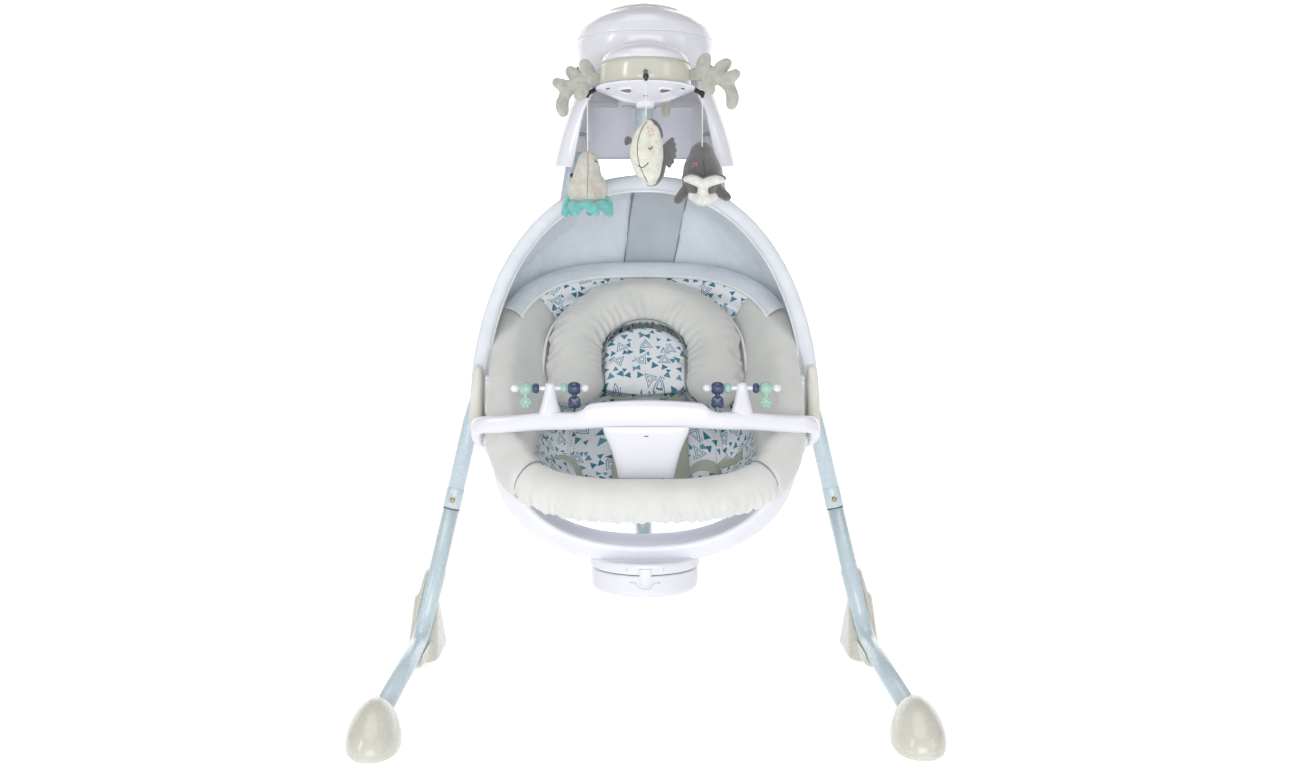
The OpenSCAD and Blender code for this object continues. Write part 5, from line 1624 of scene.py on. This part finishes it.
def blob(name, limbs, body, material, slot, *nodes, voxel=2.0, rounds=4, wave=0.5, seed=1, scale=22, sides=18,
         squash_y=1.0, levels=1, fill=0.85):
    """One soft shape from limbs; a limb is a list of (x, y, z, radius) along its middle."""
    points, faces = [], []
    for limb in limbs:
        rows = catmull(limb, 4)
        path, radii = rows[:, :3], np.maximum(rows[:, 3], 0.3)
        first, last = unit(path[0] - path[1]), unit(path[-1] - path[-2])
        lead = [(path[0] + first * radii[0] * q, radii[0] * w)
                for q, w in ((1, 0.05), (0.9, 0.45), (0.6, 0.8))]
        trail = [(path[-1] + last * radii[-1] * q, radii[-1] * w)
                 for q, w in ((0.6, 0.8), (0.9, 0.45), (1, 0.05))]
        path = np.concatenate([[p for p, _ in lead], path, [p for p, _ in trail]])
        radii = np.concatenate([[r for _, r in lead], radii, [r for _, r in trail]])
        _, side, up = frames_along(path)
        rings = ring_points(radii, sides, path, side, up)
        base = len(points)
        n, m = rings.shape[:2]
        points += list(rings.reshape(-1, 3))
        faces += [tuple(base + v for v in f) for f in grid_faces(n, m, True)]
        faces += [tuple(base + j for j in reversed(range(m))),
                  tuple(base + (n - 1) * m + j for j in range(m))]
    obj = build(name, points, faces, None, material, slot)
    mod(obj, "REMESH", mode="VOXEL", voxel_size=voxel * MM)
    mod(obj, "SMOOTH", factor=0.5, iterations=rounds)
    apply_all(obj)
    p = mesh_points(obj)
    p = p + mesh_normals(obj) * (waves(p, seed, scale) * wave)[:, None]
    if squash_y != 1.0:
        middle = p[:, 1].mean()
        p[:, 1] = middle + (p[:, 1] - middle) * squash_y
    set_points(obj, p)
    if levels:
        mod(obj, "SUBSURF", levels=levels, render_levels=levels)
        apply_all(obj)
    obj.data.polygons.foreach_set("use_smooth", [True] * len(obj.data.polygons))
    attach(obj, body)
    if nodes:
        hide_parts(*nodes)
    return obj


for word, side in SIDES:
    x = 254
    blob(f"canopy_flap_{word}", [
        [(side * (x + 0), -66, 437, 11), (side * (x + 1), -60, 460, 11.5), (side * (x + 0), -52, 492, 10.5),
         (side * (x - 1), -46, 524, 8)],
        [(side * (x + 0), -50, 436, 11), (side * (x + 1), -40, 462, 12), (side * (x + 0), -34, 496, 11),
         (side * (x - 1), -30, 526, 8)],
        [(side * (x + 0), -78, 442, 9), (side * (x + 1), -74, 466, 10), (side * (x + 0), -66, 496, 9),
         (side * (x - 1), -58, 522, 7)],
    ], "canopy", MAT["cream"], "cream_fabric", "canopy_flaps", voxel=2.5, rounds=8, wave=0.8,
    seed=17 + side, scale=40)


# ---- Leaf sprays ----

def hub_frame(azimuth):
    """Functions that place (outward, along, up) about the drum, up from Z 949."""
    a = math.radians(azimuth)
    out = arr((math.cos(a), math.sin(a), 0))
    along = arr((-math.sin(a), math.cos(a), 0))

    def place(o, s, u):
        p = arr((0, HUB_Y, 949)) + out * (66 + o) + along * s + arr((0, 0, u))
        return lean(p)

    return place


LEAF_STEM = [(-1, 0, 5, 7.5), (12, 0, 7, 10), (26, 0, 6, 11), (40, 0, 2, 10.5), (52, 0, -6, 10),
             (59, 0, -17, 9)]
LEAF_LOBES = [
    [(16, 1, 9, 8), (20, 2, 19, 10.5), (24, 3, 27, 9)],
    [(36, -1, 5, 8), (44, -3, 15, 10.5), (51, -3, 21, 9)],
    [(50, 1, -6, 8), (59, 2, -1, 10), (67, 3, 3, 8.5)],
    [(24, 1, 2, 8), (28, 3, -9, 10), (31, 5, -17, 9)],
    [(58, 0, -16, 8), (62, 0, -27, 10), (61, 0, -38, 9)],
]
for i, azimuth in enumerate((162, -14, 74)):
    place = hub_frame(azimuth)
    swing = (1, -1, 1)[i]
    small = 0.8 if azimuth == 74 else 1.0
    limbs = []
    for limb in [LEAF_STEM] + LEAF_LOBES:
        limbs.append([(*place(o * small, s * swing * 2.2, u * small), r * small) for o, s, u, r in limb])
    blob(f"leaf_spray_{i + 1}", limbs, "mobile", MAT["leaf"], "leaf_plush", "leaf_branches", voxel=2.2,
         rounds=3,
         wave=0.8, seed=23 + i, scale=26)
    for k, limb in enumerate(LEAF_LOBES):
        seam = arr([place(o * small, s * swing * 2.2 - 0, u * small) for o, s, u, _ in limb])
        seam = catmull(seam + (0, -9.4 * small, 0), 4)
        stitches(f"leaf_stitch_{i + 1}_{k + 1}", seam, "mobile", MAT["leaf"], "leaf_plush", 2.6, 1.6, 0.5)


# ---- Plush toys ----

def from_top(toy, rows):
    """Limbs given from the toy's top, where its string ends."""
    top = toy_top[toy] - (0, 0, 0.3)
    return [[(top[0] + x, top[1] + y, top[2] + z, r) for x, y, z, r in limb] for limb in rows]


def surface_path(obj, points, lift=0.4, direction=(0, 1, 0)):
    """Points dropped onto a piece's surface along a direction."""
    bpy.context.view_layer.update()
    inverse = obj.matrix_world.inverted()
    out = []
    for p in arr(points):
        start_at = inverse @ Vector((p - arr(direction) * 120) * MM)
        toward = (inverse.to_3x3() @ Vector(direction)).normalized()
        hit, where, normal, _ = obj.ray_cast(start_at, toward)
        if hit:
            out.append(arr(obj.matrix_world @ (where + normal * lift * MM)) / MM)
    return arr(out)


def top_points(toy, points):
    return arr(points) + toy_top[toy] - (0, 0, 0.3)


def curve_line(points, count=14):
    return catmull(arr(points), max(2, count // (len(points) - 1)))


def surface_thread(name, obj, toy, points, material, r=0.55, lift=0.25):
    line = [(x, 0, z) for x, z in curve_line(points)]
    path = surface_path(obj, top_points(toy, line), lift)
    if len(path) > 2:
        body = obj["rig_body"]
        piping(name, path, r, body, material, "white_cord", sides=8)


jelly = blob("jellyfish_body", from_top("jellyfish", [
    [(0, 0, -16, 16.5), (0, 0, -26, 19.5), (-1, 0, -38, 21.5), (-1, 0, -50, 23.5), (-1, 0, -60, 25)],
    [(-11, 0, -50, 18), (-14, 0, -62, 17)], [(11, 0, -50, 18), (13, 0, -62, 17)],
    [(0, -8, -50, 18), (0, -10, -62, 17)],
]), "jellyfish_toy", MAT["jelly"], "jellyfish_plush", "jellyfish", voxel=2.0, wave=0.7, seed=31, scale=40)
frill_limbs = []
for k in range(7):
    a = math.radians(-90 + k * 360 / 7)
    ca, sa = math.cos(a), math.sin(a)
    frill_limbs.append([(ca * 22 - sa * -9, sa * 22 + ca * -9, -80, 6.5), (ca * 27, sa * 27, -79, 8),
                        (ca * 30 - sa * 9, sa * 30 + ca * 9, -84, 7.5),
                        (ca * 32 - sa * 13, sa * 32 + ca * 13, -90, 6)])
blob("jellyfish_frill", from_top("jellyfish", frill_limbs), "jellyfish_toy", MAT["frill"], "jellyfish_plush",
     voxel=1.8, wave=0.6, seed=33, scale=18)
for side in (-1, 1):
    blob(f"jellyfish_tentacle_{'left' if side < 0 else 'right'}", from_top("jellyfish", [
        [(side * 28, -4, -68, 4), (side * 33, -6, -78, 4.6), (side * 34, -6, -88, 4.6),
         (side * 33, -4, -94, 3.6)]]),
         "jellyfish_toy", MAT["frill"], "jellyfish_plush", voxel=1.4, wave=0.3, seed=35 + side, scale=15)
surface_thread("jellyfish_seam", jelly, "jellyfish", [(0, -3), (1, -24), (0, -50), (-1, -82)],
               MAT["thread"], 0.35)
surface_thread("jellyfish_eye", jelly, "jellyfish", [(10, -12), (12, -15), (14.5, -16)], MAT["thread"], 0.7)
for k, (x, z) in enumerate([(8, -49), (9, -54), (7.5, -57), (9.5, -60)]):
    surface_thread(f"jellyfish_mark_{k}", jelly, "jellyfish",
                   [(x, z), (x + 0.8, z - 1.2), (x + 1.4, z - 2.6)], MAT["pink"], 0.6)

fish_body = blob("fish_body", from_top("fish", [
    [(3, 0, -12, 9), (0, 0, -24, 15.5), (-2, 0, -38, 19), (-2, 0, -52, 20.5), (0, 0, -66, 19.5),
     (4, 0, -78, 15), (7, 0, -86, 9)],
    [(8, 0, -22, 12), (9, 0, -42, 15), (9, 0, -60, 15), (9, 0, -76, 12)],
]), "fish_toy", MAT["fish"], "fish_plush", "fish", voxel=2.0, wave=0.5, seed=41, scale=30, squash_y=0.92)
blob("fish_dorsal", from_top("fish", [
    [(5, 4, -6, 4), (11, 4, -8, 5), (17, 4, -16, 5.4), (20, 4, -26, 4.6)]]), "fish_toy", MAT["charcoal"],
    "whale_plush", voxel=1.4, wave=0.4, seed=43, scale=14)
blob("fish_side_fin", from_top("fish", [[(-20, 4, -34, 3.6), (-25, 5, -30, 4.4), (-27, 5, -36, 3.6)]]),
     "fish_toy", MAT["charcoal"], "whale_plush", voxel=1.4, wave=0.3, seed=44, scale=14)
fan = []
for k in range(6):
    a = math.radians(34 - k * 17)
    fan.append([(20, 3, -46, 3.0), (20 + 13 * math.cos(a), 3, -46 + 17 * math.sin(a), 3.9),
                (20 + 20 * math.cos(a), 2, -46 + 27 * math.sin(a), 3.6)])
blob("fish_fan_fin", from_top("fish", fan), "fish_toy", MAT["charcoal"], "whale_plush", voxel=1.3, rounds=2,
     wave=0.2,
     seed=45, scale=14)
blob("fish_back", from_top("fish", [[(21, 8, -52, 5), (22, 8, -64, 7), (19, 8, -78, 7), (12, 8, -89, 6),
                                     (4, 8, -93, 3)]]),
     "fish_toy", MAT["charcoal"], "whale_plush", voxel=1.6, wave=0.4, seed=46, scale=16)
surface_thread("fish_seam", fish_body, "fish", [(2, -6), (-7, -20), (-12, -42), (-9, -66), (2, -90)],
               MAT["thread"], 0.5)
surface_thread("fish_eye", fish_body, "fish", [(3, -43), (6, -45), (9, -41)], MAT["thread"], 0.75)
surface_thread("fish_smile", fish_body, "fish", [(-11, -67), (-6, -70), (0, -67), (3, -63)], MAT["thread"],
               0.6)
for k, (x, z) in enumerate([(1, -14), (5, -16), (2, -20), (8, -19), (4, -25), (9, -24)]):
    surface_thread(f"fish_mark_{k}", fish_body, "fish", [(x, z), (x + 1.2, z - 0.4), (x + 2.2, z - 1.4)],
                   MAT["pink"], 0.6)

whale_body = blob("whale_body", from_top("whale", [
    [(0, 14, 4, 20), (0, 10, -12, 27), (0, 6, -30, 29), (0, 4, -42, 26)],
    [(-8, 8, -14, 20), (-10, 6, -38, 20)], [(8, 8, -14, 20), (10, 6, -38, 20)],
    [(-20, 2, -44, 9), (-29, 0, -54, 8), (-36, -2, -62, 7)],
    [(20, 2, -44, 9), (29, 0, -52, 8), (37, -2, -58, 7)],
]), "whale_toy", MAT["charcoal"], "whale_plush", "whale", voxel=2.0, wave=0.5, seed=51, scale=30)
blob("whale_belly", from_top("whale", [
    [(-14, -6, -56, 8), (0, -10, -60, 12), (16, -6, -58, 8)],
    [(0, -16, -56, 9), (0, -26, -50, 8), (0, -31, -42, 7)],
    [(0, -31, -41, 7), (-9, -32, -35, 7.6), (-19, -31, -32, 7), (-24, -30, -32, 5.5)],
    [(0, -31, -41, 7), (9, -32, -36, 7.6), (20, -31, -33, 7), (27, -30, -33, 5.5)],
]), "whale_toy", MAT["belly"], "whale_plush", voxel=1.8, wave=0.4, seed=53, scale=20)
blob("whale_tail_back", from_top("whale", [
    [(0, -26, -39, 6), (-9, -26, -33, 7.6), (-20, -25, -30, 7.4), (-26, -25, -30, 5.6)],
    [(0, -26, -39, 6), (9, -26, -34, 7.6), (21, -25, -31, 7.4), (29, -25, -31, 5.6)]]),
     "whale_toy", MAT["charcoal"], "whale_plush", voxel=1.8, wave=0.4, seed=54, scale=20)
surface_thread("whale_seam", whale_body, "whale", [(0, -4), (2, -14), (3, -26)], MAT["thread"], 0.5)
for k, (x, z) in enumerate([(-14, -9), (-11, -11), (-15, -13), (-11, -8)]):
    surface_thread(f"whale_mark_{k}", whale_body, "whale", [(x, z), (x + 1.4, z - 0.3), (x + 2.6, z - 1.2)],
                   MAT["pink"], 0.6)
